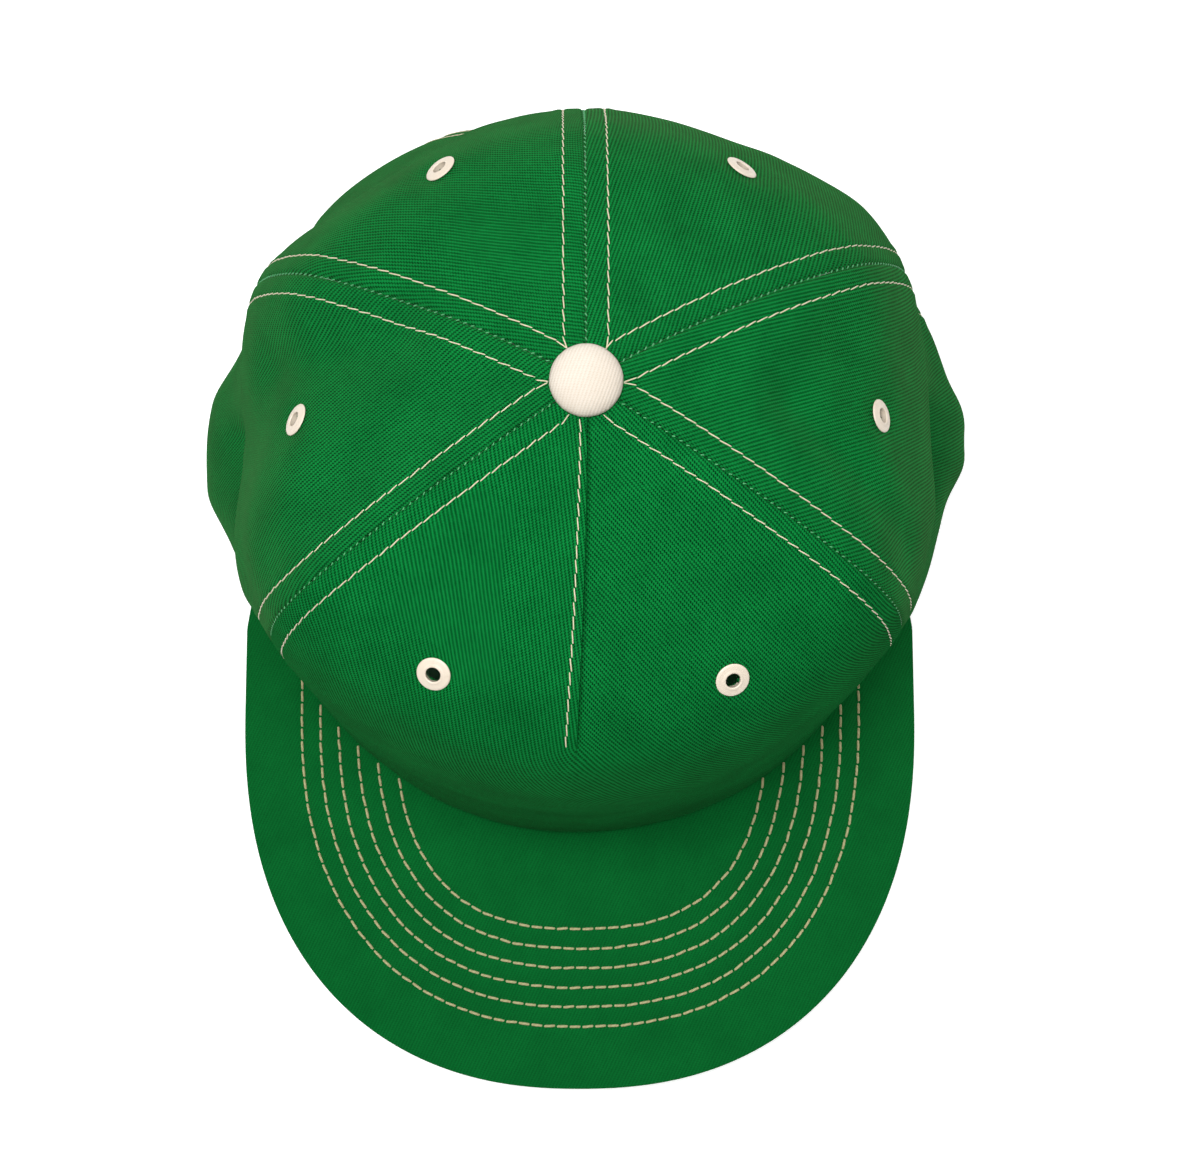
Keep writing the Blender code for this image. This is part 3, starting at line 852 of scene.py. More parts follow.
    def peak_top(self, x: np.ndarray, y: np.ndarray) -> np.ndarray:
        """Return the height of the peak's upper face.

        Args:
            x: Distances to the right of the button's axis.
            y: Distances behind it.

        Returns:
            The height at each place.
        """
        forward = (-y - self.front_reach) / self.peak_length
        middle = self.peak_rise + (self.peak_tip_height - self.peak_rise) * forward
        return self.peak_thickness + middle * (1 - (x / self.peak_half_width) ** 2)

    def rim_height(self, angle: np.ndarray) -> np.ndarray:
        """Return the height of the hem: on the peak at the front, on the floor elsewhere.

        Args:
            angle: Angles round the button.

        Returns:
            The height at each angle.
        """
        inside = in_plan(angle, self.rim_reach(angle) - self.cloth)
        seat = self.peak_top(inside[..., 0], inside[..., 1])
        past = np.abs(wrapped(np.asarray(angle) - FRONT)) - (FRONT - self.peak_corner) - self.corner_margin
        return (seat + self.rest_gap) * (1 - ease(past / self.corner_blend))

    def smooth_point(self, angle: np.ndarray, down: np.ndarray) -> tuple[np.ndarray, np.ndarray]:
        """Return places on the crown's outer face without its folds.

        Args:
            angle: Angles round the button.
            down: Shares of the way to the rim.

        Returns:
            The reach and the height of each place.
        """
        angle, down = np.broadcast_arrays(np.asarray(angle, dtype=float), np.asarray(down, dtype=float))
        section = self.section(down)
        from_back = np.abs(wrapped(angle - BACK))
        places = np.array([-self.directions[1], *self.directions, 360.0 - self.directions[-2]])
        shares = np.concatenate([section[..., 3:4], section[..., 2:], section[..., -2:-1]], axis=-1)
        frontal = ease((from_back - self.frontal_start) / self.frontal_span)
        drop = section[..., 0] + (section[..., 1] - section[..., 0]) * frontal
        fold_line = self.rim_height(angle) + self.hem
        height = fold_line + (self.height - fold_line) * (1 - drop)
        return self.rim_reach(angle) * curve(places, shares, from_back), height

    def place(self, angle: np.ndarray, down: np.ndarray, lift: np.ndarray = 0.0) -> np.ndarray:
        """Return points of the crown's outer face, with its folds.

        Args:
            angle: Angles round the button.
            down: Shares of the way to the rim.
            lift: How far the points stand off the face.

        Returns:
            The points, with coordinates along the last axis.
        """
        angle, down = np.broadcast_arrays(np.asarray(angle, dtype=float), np.asarray(down, dtype=float))
        reach, height = self.smooth_point(angle, down)
        near_reach, near_height = self.smooth_point(angle, down - self.section_step)
        outward, downward = reach - near_reach, near_height - height
        flat = in_plan(angle, down)
        lift = lift + self.height * sum(fold.lifted(flat) for fold in self.folds)
        lift = lift / np.hypot(outward, downward)
        plan = in_plan(angle, reach + lift * downward)
        height = height + lift * outward
        return np.concatenate([plan, height[..., None]], axis=-1) + self.axis

    def normal(self, angle: np.ndarray, down: np.ndarray) -> np.ndarray:
        """Return directions straight out of the crown's face.

        Args:
            angle: Angles round the button.
            down: Shares of the way to the rim.

        Returns:
            The directions, at length 1.
        """
        angle, down = np.asarray(angle), np.asarray(down)
        along = self.place(angle, down + self.slope_down) - self.place(angle, down - self.slope_down)
        across = self.place(angle + self.slope_turn, down) - self.place(angle - self.slope_turn, down)
        return unit(np.cross(along, across))

    def down_at_height(self, angle: np.ndarray, height: np.ndarray) -> np.ndarray:
        """Find where the smooth crown reaches heights, by halving.

        Args:
            angle: Angles round the button.
            height: Heights above the floor.

        Returns:
            The down of each height.
        """
        angle, height = np.broadcast_arrays(np.asarray(angle, dtype=float), np.asarray(height, dtype=float))
        low, high = np.zeros(angle.shape), np.ones(angle.shape)
        for _ in range(self.halvings):
            middle = (low + high) / 2
            above = self.smooth_point(angle, middle)[1] > height
            low, high = np.where(above, middle, low), np.where(above, high, middle)
        return (low + high) / 2

    def way(self, angle: float, downs: np.ndarray) -> np.ndarray:
        """Return how far the cloth has run from the button's axis, along one angle.

        Args:
            angle: The angle.
            downs: Shares of the way to the rim.

        Returns:
            The run at each down.
        """
        table = np.linspace(0.0, 1.0, WAY_STEPS)
        reach, height = self.smooth_point(angle, table)
        steps = np.hypot(np.diff(reach), np.diff(height))
        return np.interp(downs, table, np.concatenate([[0.0], np.cumsum(steps)]))

    def down_at_way(self, angle: float, way: np.ndarray) -> np.ndarray:
        """Return the downs at which the cloth has run a way, along one angle."""
        table = np.linspace(0.0, 1.0, WAY_STEPS)
        return np.interp(way, self.way(angle, table), table)


CROWN_PITCH, CROWN_DASH, CROWN_GAUGE = 2.95 * MM, 3.25 * MM, 0.30 * MM
SEAMS = {"back": Seam(BACK, BACK), "back_left": Seam(150.0, 157.0), "front_left": Seam(213.5, 215.5),
         "front_right": Seam(329.0, 326.0), "back_right": Seam(31.0, 25.5)}
DART = Seam(271.5, 268.0)


@dataclass(frozen=True)
class Sewing:
    """How the crown is sewn: seams pressed open between two stitch lines, and the dart."""

    stitch_off: float = 4.9 * MM
    crossing_reach: float = 9.4 * MM
    line_start: float = 8.2 * MM
    groove: float = 0.42 * MM
    groove_width: float = 0.42 * MM
    puff: float = 0.27 * MM
    puff_start: float = 0.1 * MM
    puff_rise: float = 1.1 * MM
    puff_past: float = 0.6 * MM
    puff_fall: float = 2.6 * MM
    pull: float = 0.32 * MM
    pull_width: float = 0.55 * MM
    dart_length: float = 80.0 * MM
    dart_start: float = 10.0 * MM
    dart_stitches: tuple[float, float] = (1.4 * MM, 2.4 * MM)
    dart_step: float = 0.55 * MM
    dart_step_start: float = 4.5 * MM
    dart_step_rise: float = 2.5 * MM
    dart_drop: float = 1.7
    dart_pull: float = 0.7
    dart_pull_width: float = 0.5 * MM
    dart_fade: float = 6.0 * MM

    def stitch_distance(self, reach: np.ndarray) -> np.ndarray:
        """Return how far a stitch line runs from its seam: a little less near the button."""
        return self.stitch_off * np.minimum(1.0, reach / self.crossing_reach)

    def seam_relief(self, distance: np.ndarray, stitch: np.ndarray) -> np.ndarray:
        """Return the cloth's lift beside a seam.

        Args:
            distance: Distances from the seam.
            stitch: The stitch line's distances from it.

        Returns:
            The lift.
        """
        rise = ease((distance - self.puff_start) / self.puff_rise)
        rise = rise * (1 - ease((distance - stitch - self.puff_past) / self.puff_fall))
        sunk = self.groove * ridge(distance, self.groove_width)
        sunk = sunk + self.pull * ridge(distance - stitch, self.pull_width)
        return self.puff * rise - sunk

    def dart_stitch(self, way: np.ndarray) -> np.ndarray:
        """Return how far left of the dart's fold its stitches run."""
        return np.interp(way, (self.dart_start, self.dart_length), self.dart_stitches)

    def dart_relief(self, distance: np.ndarray, way: np.ndarray) -> np.ndarray:
        """Return the cloth's lift beside the dart: up on the left of its fold, and sunk on the right.

        Args:
            distance: Distances to the right of the fold.
            way: The cloth's run from the button.

        Returns:
            The lift.
        """
        fade = 1 - ease((way - self.dart_length + self.dart_fade) / (2 * self.dart_fade))
        over = self.dart_step * ease((distance + self.dart_step_start) / self.dart_step_rise)
        under = -self.dart_drop * self.dart_step * ridge(distance, self.pull_width)
        pull = ridge(distance + self.dart_stitch(way), self.dart_pull_width)
        pull = -self.dart_pull * self.pull * pull
        return fade * (np.where(distance < 0, over, under) + pull)


@dataclass(frozen=True)
class EyeletPlace:
    """Where an eyelet sits: its panel, its angle and its way from the button along the cloth.

    Its tilt down the crown and its lean towards growing angle are in degrees.
    """

    node: str
    panel: str
    angle: float
    way: float
    tilt: float = 0.0
    lean: float = 0.0

    def down(self, crown: CrownShape) -> float:
        """Return its down."""
        return float(crown.down_at_way(self.angle, self.way))

    def centre(self, crown: CrownShape) -> np.ndarray:
        """Return its centre on the crown's face."""
        return crown.place(self.angle, self.down(crown))

    def slope(self, crown: CrownShape) -> np.ndarray:
        """Return how much it tilts down the crown's face and leans towards growing angle.

        Args:
            crown: The crown's shape.

        Returns:
            Both slopes as one vector along the face.
        """
        centre, down = self.centre(crown), self.down(crown)
        downward = unit(crown.place(self.angle, down + crown.section_step) - centre)
        aside = unit(crown.place(self.angle + crown.slope_turn, down) - centre)
        return math.tan(math.radians(self.tilt)) * downward + math.tan(math.radians(self.lean)) * aside

    def normal(self, crown: CrownShape) -> np.ndarray:
        """Return the direction that it faces."""
        return unit(crown.normal(self.angle, self.down(crown)) + self.slope(crown))


EYELET_WAY = 0.072
EYELETS = (
    EyeletPlace("eyelet_front_left", "front_panel", 242.2, 0.985 * EYELET_WAY),
    EyeletPlace("eyelet_front_right", "front_panel", 296.5, 0.995 * EYELET_WAY),
    EyeletPlace("eyelet_left", "left_panel", 184.3, 0.965 * EYELET_WAY, 9.0),
    EyeletPlace("eyelet_right", "right_panel", 356.8, 0.985 * EYELET_WAY, 9.0),
    EyeletPlace("eyelet_back_left", "back_left_panel", 121.8, 0.915 * EYELET_WAY, 4.0, 14.0),
    EyeletPlace("eyelet_back_right", "back_right_panel", 56.3, 0.955 * EYELET_WAY, 4.0, -6.0),
)


# Stitches


@dataclass
class StitchRun:
    """A row of stitches along a line of points on the cloth."""

    points: np.ndarray
    normals: np.ndarray


@dataclass
class Needlework:
    """Sews rows of stitches: one stitch is modelled and then copied along each row.

    Pitch and dash are the stitch's step and length. The thread sinks into the cloth, slants to its row and
    strays from it. Each stitch turns by up to turn_stray and stands up to lift_stray higher or lower. Higher
    powers make its ends blunter and bend them down later.
    """

    pitch: float
    dash: float
    thickness: float
    dress: Finish
    sink: float = 0.10 * MM
    slant: float = 7.0
    stray: float = 0.05 * MM
    turn_stray: float = 2.5
    lift_stray: float = 0.03 * MM
    sides: int = 6
    rings: int = 6
    gathering: float = 0.45
    end_drop: float = 0.9
    drop_power: int = 12
    blunt_powers: tuple[int, float] = (5, 0.4)
    chance: random.Random = field(default_factory=lambda: random.Random(7))

    def stitch(self) -> bpy.types.Object:
        """Model one stitch along X: a thread whose blunt ends bend down into the cloth.

        Returns:
            The stitch, with its own UV map.
        """
        deselect()
        bpy.ops.mesh.primitive_uv_sphere_add(segments=self.sides, ring_count=self.rings, radius=1.0,
                                             rotation=(0.0, math.pi / 2, 0.0))
        stitch = bpy.context.object
        apply_place(stitch)
        mesh = stitch.data
        layer = mesh.uv_layers.active or mesh.uv_layers.new(name="Thread")
        layer.name = "Thread"
        for loop in mesh.loops:
            place = mesh.vertices[loop.vertex_index].co
            layer.data[loop.index].uv = (place.x * self.dash / 2, math.atan2(place.z, place.y) / math.tau)
        half = self.thickness / 2
        blunt, taper = self.blunt_powers
        for vertex in mesh.vertices:
            ring = math.asin(max(-1.0, min(1.0, vertex.co.x))) / (math.pi / 2)
            x = math.copysign(abs(ring) ** self.gathering, ring)
            reach = half * max(1 - abs(x) ** blunt, 0.0) ** taper
            side = Vector((0.0, vertex.co.y, vertex.co.z))
            side = side.normalized() if side.length > 1e-4 else side
            drop = self.end_drop * self.thickness * abs(x) ** self.drop_power
            vertex.co = Vector((x * self.dash / 2, side.y * reach, side.z * reach - drop))
        mesh.update()
        mesh.shade_smooth()
        return stitch

    def places(self, run: StitchRun) -> Iterable[Matrix]:
        """Work out where the stitches of one row lie.

        Args:
            run: The row.

        Returns:
            The place and turn of each stitch, one after another.
        """
        steps = np.linalg.norm(np.diff(run.points, axis=0), axis=1)
        length = np.concatenate([[0.0], np.cumsum(steps)])
        count = max(int(length[-1] / self.pitch), 1)
        pitch = length[-1] / count
        strays = [self.chance.uniform(-self.stray, self.stray) for _ in range(count + 1)]

        def read(table: np.ndarray, at: float) -> np.ndarray:
            """Read a table of the row at a length along it."""
            return np.array([np.interp(at, length, table[:, axis]) for axis in range(3)])

        for index in range(count):
            start = index * pitch
            first, last = read(run.points, start), read(run.points, start + pitch)
            middle, normal = read(run.points, start + pitch / 2), read(run.normals, start)
            aside = unit(np.cross(normal, last - first))
            first, last = first + aside * strays[index], last + aside * strays[index + 1]
            middle = middle + aside * (strays[index] + strays[index + 1]) / 2
            along = unit(last - first)
            up = unit(normal - along * float(normal @ along))
            turn = Matrix((along, np.cross(up, along), up)).transposed()
            slant = self.slant + self.chance.uniform(-self.turn_stray, self.turn_stray)
            turn = turn @ Matrix.Rotation(math.radians(slant), 3, "Z")
            lift = self.thickness / 2 - self.sink + self.chance.uniform(-self.lift_stray, self.lift_stray)
            yield Matrix.Translation(Vector((first + last) / 4 + middle / 2 + up * lift)) @ turn.to_4x4()

    def sew(self, name: str, runs: Iterable[StitchRun]) -> None:
        """Sew rows of stitches as one piece.

        Args:
            name: The piece's name.
            runs: The rows.
        """
        model = self.stitch()
        copies = []
        for place in (place for run in runs for place in self.places(run)):
            copy = model.copy()
            copy.data = model.data.copy()
            copy.matrix_world = place
            bpy.context.collection.objects.link(copy)
            copies.append(copy)
        deselect()
        for copy in copies:
            copy.select_set(True)
        bpy.context.view_layer.objects.active = copies[0]
        bpy.ops.object.join()
        piece = bpy.context.object
        piece.name = piece.data.name = name
        apply_place(piece)
        bpy.data.objects.remove(model, do_unlink=True)
        finish_piece(piece, self.dress)


# The crown


@dataclass
class CrownPanel:
    """One sewn panel of the crown, from its first seam to its last in the direction of growing angle.

    Its ribs are angles on the flat cloth, in degrees: one for each side of the front panel's dart. Edge holds
    the places of the columns beside a seam, in millimetres, and crease the first of them beside the dart.
    Rates are waves to a metre.
    """

    node: str
    first: Seam
    last: Seam
    ribs: tuple[float, ...]
    crown: CrownShape
    sewing: Sewing
    seed: float
    hole_down: float = 0.026
    shoulder_down: float = 0.57
    arch_half_width: float = 0.042
    arch_height: float = 0.046
    row_step: float = 1.05 * MM
    column_step: float = 1.25 * MM
    hem_rows: int = 8
    hem_down: float = 0.95
    hem_gap: float = 0.1 * MM
    edge_share: float = 0.45
    foot_columns: int = 50
    foot_gap: float = 0.25 * MM
    edge_rounding: float = 0.11 * MM
    inside_height: float = 0.05
    hole_radius: float = 2.6 * MM
    slow_wave: float = 0.45 * MM
    slow_rate: float = 32.0
    quick_wave: float = 0.20 * MM
    quick_rate: float = 85.0
    wave_margin: float = 6.0 * MM
    pucker: float = 0.16 * MM
    pucker_width: float = 4.2 * MM
    pucker_rates: tuple[float, float] = (300.0, 70.0)
    eyelet_calm: float = 6.5 * MM
    eyelet_tilt: float = 5.5 * MM
    eyelet_dip: float = 0.25 * MM
    eyelet_dip_at: float = 4.2 * MM
    eyelet_dip_width: float = 1.2 * MM
    crease: float = 0.03
    edge: tuple[float, ...] = (-0.03, 0.35, 0.65, 0.95, 1.35, 1.85, 2.45, 3.10, 3.70, 4.15, 4.50, 4.80, 5.10,
                               5.50, 6.10, 6.80)

    @property
    def lines(self) -> list[Seam]:
        """The lines that bound or crease the panel."""
        return [self.first, DART, self.last] if self.node == "front_panel" else [self.first, self.last]

    @property
    def middle(self) -> float:
        """The panel's middle angle."""
        return (self.first.rim + self.last.rim) / 2

    def eyelets(self) -> list[EyeletPlace]:
        """Return the panel's eyelets."""
        return [eyelet for eyelet in EYELETS if eyelet.panel == self.node]

    def reach(self, line: Seam, down: np.ndarray) -> np.ndarray:
        """Return the reach on a seam at down."""
        return self.crown.smooth_point(line.angle(down), down)[0]

    def relief(self, angle: np.ndarray, down: np.ndarray, way: np.ndarray) -> np.ndarray:
        """Return how far the sewing and the cloth's own waves lift it.

        Args:
            angle: Angles round the button.
            down: Shares of the way to the rim.
            way: The cloth's run from the button.

        Returns:
            The lift.
        """
        near = np.full(angle.shape, 1.0)
        stitch = np.full(angle.shape, self.sewing.stitch_off)
        for line, sign in ((self.first, 1.0), (self.last, -1.0)):
            reach = self.reach(line, down)
            distance = sign * np.radians(angle - line.angle(down)) * reach
            stitch = np.where(distance < near, self.sewing.stitch_distance(reach), stitch)
            near = np.minimum(near, distance)
        base = self.crown.place(angle, down)
        calm, dips = np.full(angle.shape, 1.0), np.zeros(angle.shape)
        for eyelet in self.eyelets():
            aside = base - eyelet.centre(self.crown)
            away = np.linalg.norm(aside, axis=-1)
            calm = calm - ridge(away, self.eyelet_calm)
            dips = dips + self.eyelet_dip * ridge(away - self.eyelet_dip_at, self.eyelet_dip_width)
            dips = dips + (aside @ eyelet.slope(self.crown)) * ridge(away, self.eyelet_tilt)
        soft = self.slow_wave * wavy(base * self.slow_rate, self.seed)
        soft = soft + self.quick_wave * wavy(base * self.quick_rate, self.seed + 9.0)
        band = self.pucker * ridge(near - stitch, self.pucker_width)
        pucker = band * wavy(np.stack([way, near], axis=-1) * self.pucker_rates, self.seed + 3.0)
        lift = self.sewing.seam_relief(near, stitch) - dips
        lift = lift + calm * (soft * ease(near / self.wave_margin) + pucker)
        if self.node == "front_panel":
            reach = self.reach(DART, down)
            lift = lift + self.sewing.dart_relief(np.radians(angle - DART.angle(down)) * reach, way)
        return lift

    def surface(self, angle: np.ndarray, down: np.ndarray, below: np.ndarray = 0.0) -> np.ndarray:
        """Return points of the panel's outer face.

        Args:
            angle: Angles round the button.
            down: Shares of the way to the rim.
            below: How far the points hang below that place, on the hem.

        Returns:
            The points.
        """
        given = (np.asarray(each, dtype=float) for each in (angle, down, below))
        angle, down, below = np.broadcast_arrays(*given)
        way = self.crown.way(self.middle, down)
        points = self.crown.place(angle, down, self.relief(angle, down, way))
        level = ease((down - self.hem_down) / (1 - self.hem_down))
        level = level * (self.crown.smooth_point(angle, down)[1] - points[..., 2])
        return points + (level - below)[..., None] * np.array([0.0, 0.0, 1.0])

    def columns(self) -> tuple[np.ndarray, np.ndarray, np.ndarray]:
        """Lay out the panel's columns.

        Returns:
            Each column's field, its end (-1 low, 1 high, 0 between), and its distance from that end or its
            share of the way between.
        """
        rows: list[tuple[int, int, float]] = []
        edge = [distance * MM for distance in self.edge]
        creased = [self.crease * MM, *edge[1:]]
        for number, (low, high) in enumerate(zip(self.lines, self.lines[1:])):
            width = math.radians(high.rim - low.rim) * float(self.crown.rim_reach(self.middle))
            rows += [(number, -1, each) for each in (creased if low is DART else edge)]
            rows += [(number, 0, share) for share in self.inner_shares(width - 2 * edge[-1])]
            rows += [(number, 1, each) for each in (creased if high is DART else edge)[::-1]]
        table = np.array(rows)
        return table[:, 0].astype(int), table[:, 1], table[:, 2]

    def inner_shares(self, width: float) -> list[float]:
        """Return the columns between the edges, gathered at the foot of the rear opening.

        Args:
            width: The width between the edges, at the rim.

        Returns:
            Their shares of the way across it.
        """
        count = int(width / self.column_step)
        if not self.node.startswith("back"):
            return [index / count for index in range(1, count)]
        start = self.edge[-1] * MM
        turns = np.linspace(math.asin(start / self.arch_half_width), math.pi / 2, self.foot_columns + 2)
        foot = self.arch_half_width - start
        shares = [float(self.arch_half_width * math.sin(turn) - start) / width for turn in turns[1:-1]]
        shares = [share for share in shares if share * width < foot - self.foot_gap] + [foot / width]
        rest = int((1 - shares[-1]) * width / self.column_step)
        shares += [shares[-1] + (1 - shares[-1]) * index / rest for index in range(1, rest)]
        return shares if self.node == "back_left_panel" else [1 - share for share in shares[::-1]]

    def column_angles(self, down: np.ndarray) -> np.ndarray:
        """Return the angles of all columns.

        Args:
            down: Shares of the way to the rim, with one value for each column along the last axis.

        Returns:
            The angle at each of them.
        """
        number, end, value = self.columns()
        angle = np.zeros(down.shape)
        widest = self.edge[-1] * MM
        for index, (low, high) in enumerate(zip(self.lines, self.lines[1:])):
            low_reach, high_reach = self.reach(low, down), self.reach(high, down)
            width = np.radians(high.angle(down) - low.angle(down)) * (low_reach + high_reach) / 2
            squeeze = np.minimum(1.0, self.edge_share * width / widest)
            start = low.angle(down) + np.degrees(widest * squeeze / low_reach)
            stop = high.angle(down) - np.degrees(widest * squeeze / high_reach)
            near_low = low.angle(down) + np.degrees(value * squeeze / low_reach)
            near_high = high.angle(down) - np.degrees(value * squeeze / high_reach)
            here = np.where(end < 0, near_low, np.where(end > 0, near_high, start + value * (stop - start)))
            angle = np.where(number == index, here, angle)
        return angle

    def layout(self) -> tuple[np.ndarray, np.ndarray, np.ndarray]:
        """Lay out the panel's points, from the button's hole down to the hem or the rear opening.

        Returns:
            Their angles, downs and drops below them, as rows and columns.
        """
        count = len(self.columns()[0])
        rim_angle = self.column_angles(np.ones(count))
        across = np.radians(np.abs(wrapped(rim_angle - BACK))) * self.crown.back_reach / self.arch_half_width
        rise = self.arch_height * np.sqrt(np.clip(1 - across**2, 0.0, 1.0))
        rise = rise if self.node.startswith("back") else np.zeros(count)
        low = np.where(rise > 0, self.crown.down_at_height(rim_angle, rise + self.crown.hem), 1.0)
        run = self.crown.way(self.middle, np.array([self.shoulder_down, 1.0]))
        dome = np.linspace(self.hole_down, self.shoulder_down, int(run[0] / self.row_step))
        wall = np.linspace(0.0, 1.0, int((run[1] - run[0]) / self.row_step))[1:]
        downs = np.concatenate([np.repeat(dome[:, None], count, axis=1),
                                self.shoulder_down + (low - self.shoulder_down) * wall[:, None]])
        angles = self.column_angles(downs)
        share = np.linspace(0.0, 1.0, self.hem_rows)[1:, None]
        height = rise + self.crown.hem * (1 - share)
        followed = self.crown.down_at_height(angles[-1], np.maximum(height, self.crown.hem))
        followed = np.where(rise > 0, followed, 1.0)
        below = np.where(rise > 0, np.maximum(self.crown.hem - height, 0.0), self.crown.hem * share)
        angles = np.concatenate([angles, np.repeat(angles[-1:], len(share), axis=0)])
        below = np.concatenate([np.zeros(downs.shape), below])
        return angles, np.concatenate([downs, followed]), below

    def flat(self, angle: np.ndarray, down: np.ndarray, below: np.ndarray) -> np.ndarray:
        """Lay the panel out flat.

        Args:
            angle: Angles round the button.
            down: Shares of the way to the rim.
            below: Drops below that place, on the hem.

        Returns:
            The places on the flat cloth, with its ribs along the first coordinate.
        """
        way = self.crown.way(self.middle, down) + below
        reach = self.crown.smooth_point(self.middle, down)[0]
        turn = math.radians(self.middle) + np.radians(angle - self.middle) * reach / np.maximum(way, 1e-6)
        place = np.stack([way * np.cos(turn), way * np.sin(turn)], axis=-1)
        ribs = np.radians(np.array(self.ribs))
        if len(ribs) > 1:
            place = self.opened(place, self.columns()[0], (ribs[1] - ribs[0]) / 2)
        return along_ribs(place, np.mean(ribs))

    def opened(self, place: np.ndarray, number: np.ndarray, half: float) -> np.ndarray:
        """Lay the front panel flat round its dart's tip, where the cloth opens into a wedge.

        Args:
            place: Places with the dart closed.
            number: Each column's side of the dart, 0 left and 1 right.
            half: Half of the wedge's angle, in radians.

        Returns:
            The places with the dart open.
        """
        length = self.sewing.dart_length
        end = self.crown.down_at_way(self.middle, length)
        reach = float(self.crown.smooth_point(self.middle, end)[0])
        turn = math.radians(self.middle) + math.radians(DART.rim - self.middle) * reach / length
        tip = length * np.array([math.cos(turn), math.sin(turn)])
        away = place - tip
        swing = (np.arctan2(away[..., 1], away[..., 0]) - turn + math.pi) % math.tau - math.pi
        share = np.where(np.abs(swing) < math.pi / 2, np.sin(swing), np.where(number == 1, 1.0, -1.0))
        x, y, cos, sin = away[..., 0], away[..., 1], np.cos(half * share), np.sin(half * share)
        return tip + np.stack([x * cos + y * sin, y * cos - x * sin], axis=-1)

    def build(self) -> None:
        """Make the panel: its shaped cloth, its eyelets' holes and its wall."""
        angle, down, below = self.layout()
        inside = self.crown.axis + np.array([0.0, 0.0, self.inside_height])
        panel = shaped_sheet(f"{self.node}_cloth", self.surface(angle, down, below),
                             self.flat(angle, down, below), inside)
        punch_holes(panel, [Vector(eyelet.centre(self.crown)) for eyelet in self.eyelets()], self.hole_radius)
        thicken(panel, self.crown.cloth, self.edge_rounding, 2, clamp=False)
        for vertex in panel.data.vertices:
            vertex.co.z = max(vertex.co.z, 0.0)
        smooth_shade(panel)
        finish_piece(panel, FRONT_TWILL if self.node == "front_panel" else CROWN_TWILL, self.node)

    def seam_run(self, seam: Seam, sign: float, low: float, high: float, hang: float) -> StitchRun:
        """Return the stitch line beside a seam.

        Args:
            seam: The seam.
            sign: The line's side, 1 for growing angle.
            low: The down where the line starts.
            high: The down where it ends.
            hang: How far it runs on below the end, on the hem.

        Returns:
            The line.
        """
        down = np.linspace(low, high, LINE_STEPS)
        reach = self.reach(seam, down)
        angle = seam.angle(down) + sign * np.degrees(self.sewing.stitch_distance(reach) / reach)
        below = np.zeros(LINE_STEPS)
        if hang:
            hung = np.linspace(0.0, hang, HANG_STEPS + 1)[1:]
            down = np.concatenate([down, np.full(len(hung), high)])
            angle = np.concatenate([angle, np.full(len(hung), angle[-1])])
            below = np.concatenate([below, hung])
        return StitchRun(self.surface(angle, down, below), self.crown.normal(angle, down))

    def edge_run(self, angle: np.ndarray, height: np.ndarray) -> StitchRun:
        """Return a stitch line along the hem or the rear opening.

        Args:
            angle: Angles round the button, along the line.
            height: Heights above the floor, along the line.

        Returns:
            The line.
        """
        low = self.crown.down_at_height(angle, np.maximum(height, self.crown.hem + self.hem_gap))
        down = np.where(height < self.crown.hem, 1.0, low)
        below = np.maximum(self.crown.hem - height, 0.0)
        return StitchRun(self.surface(angle, down, below), self.crown.normal(angle, down))


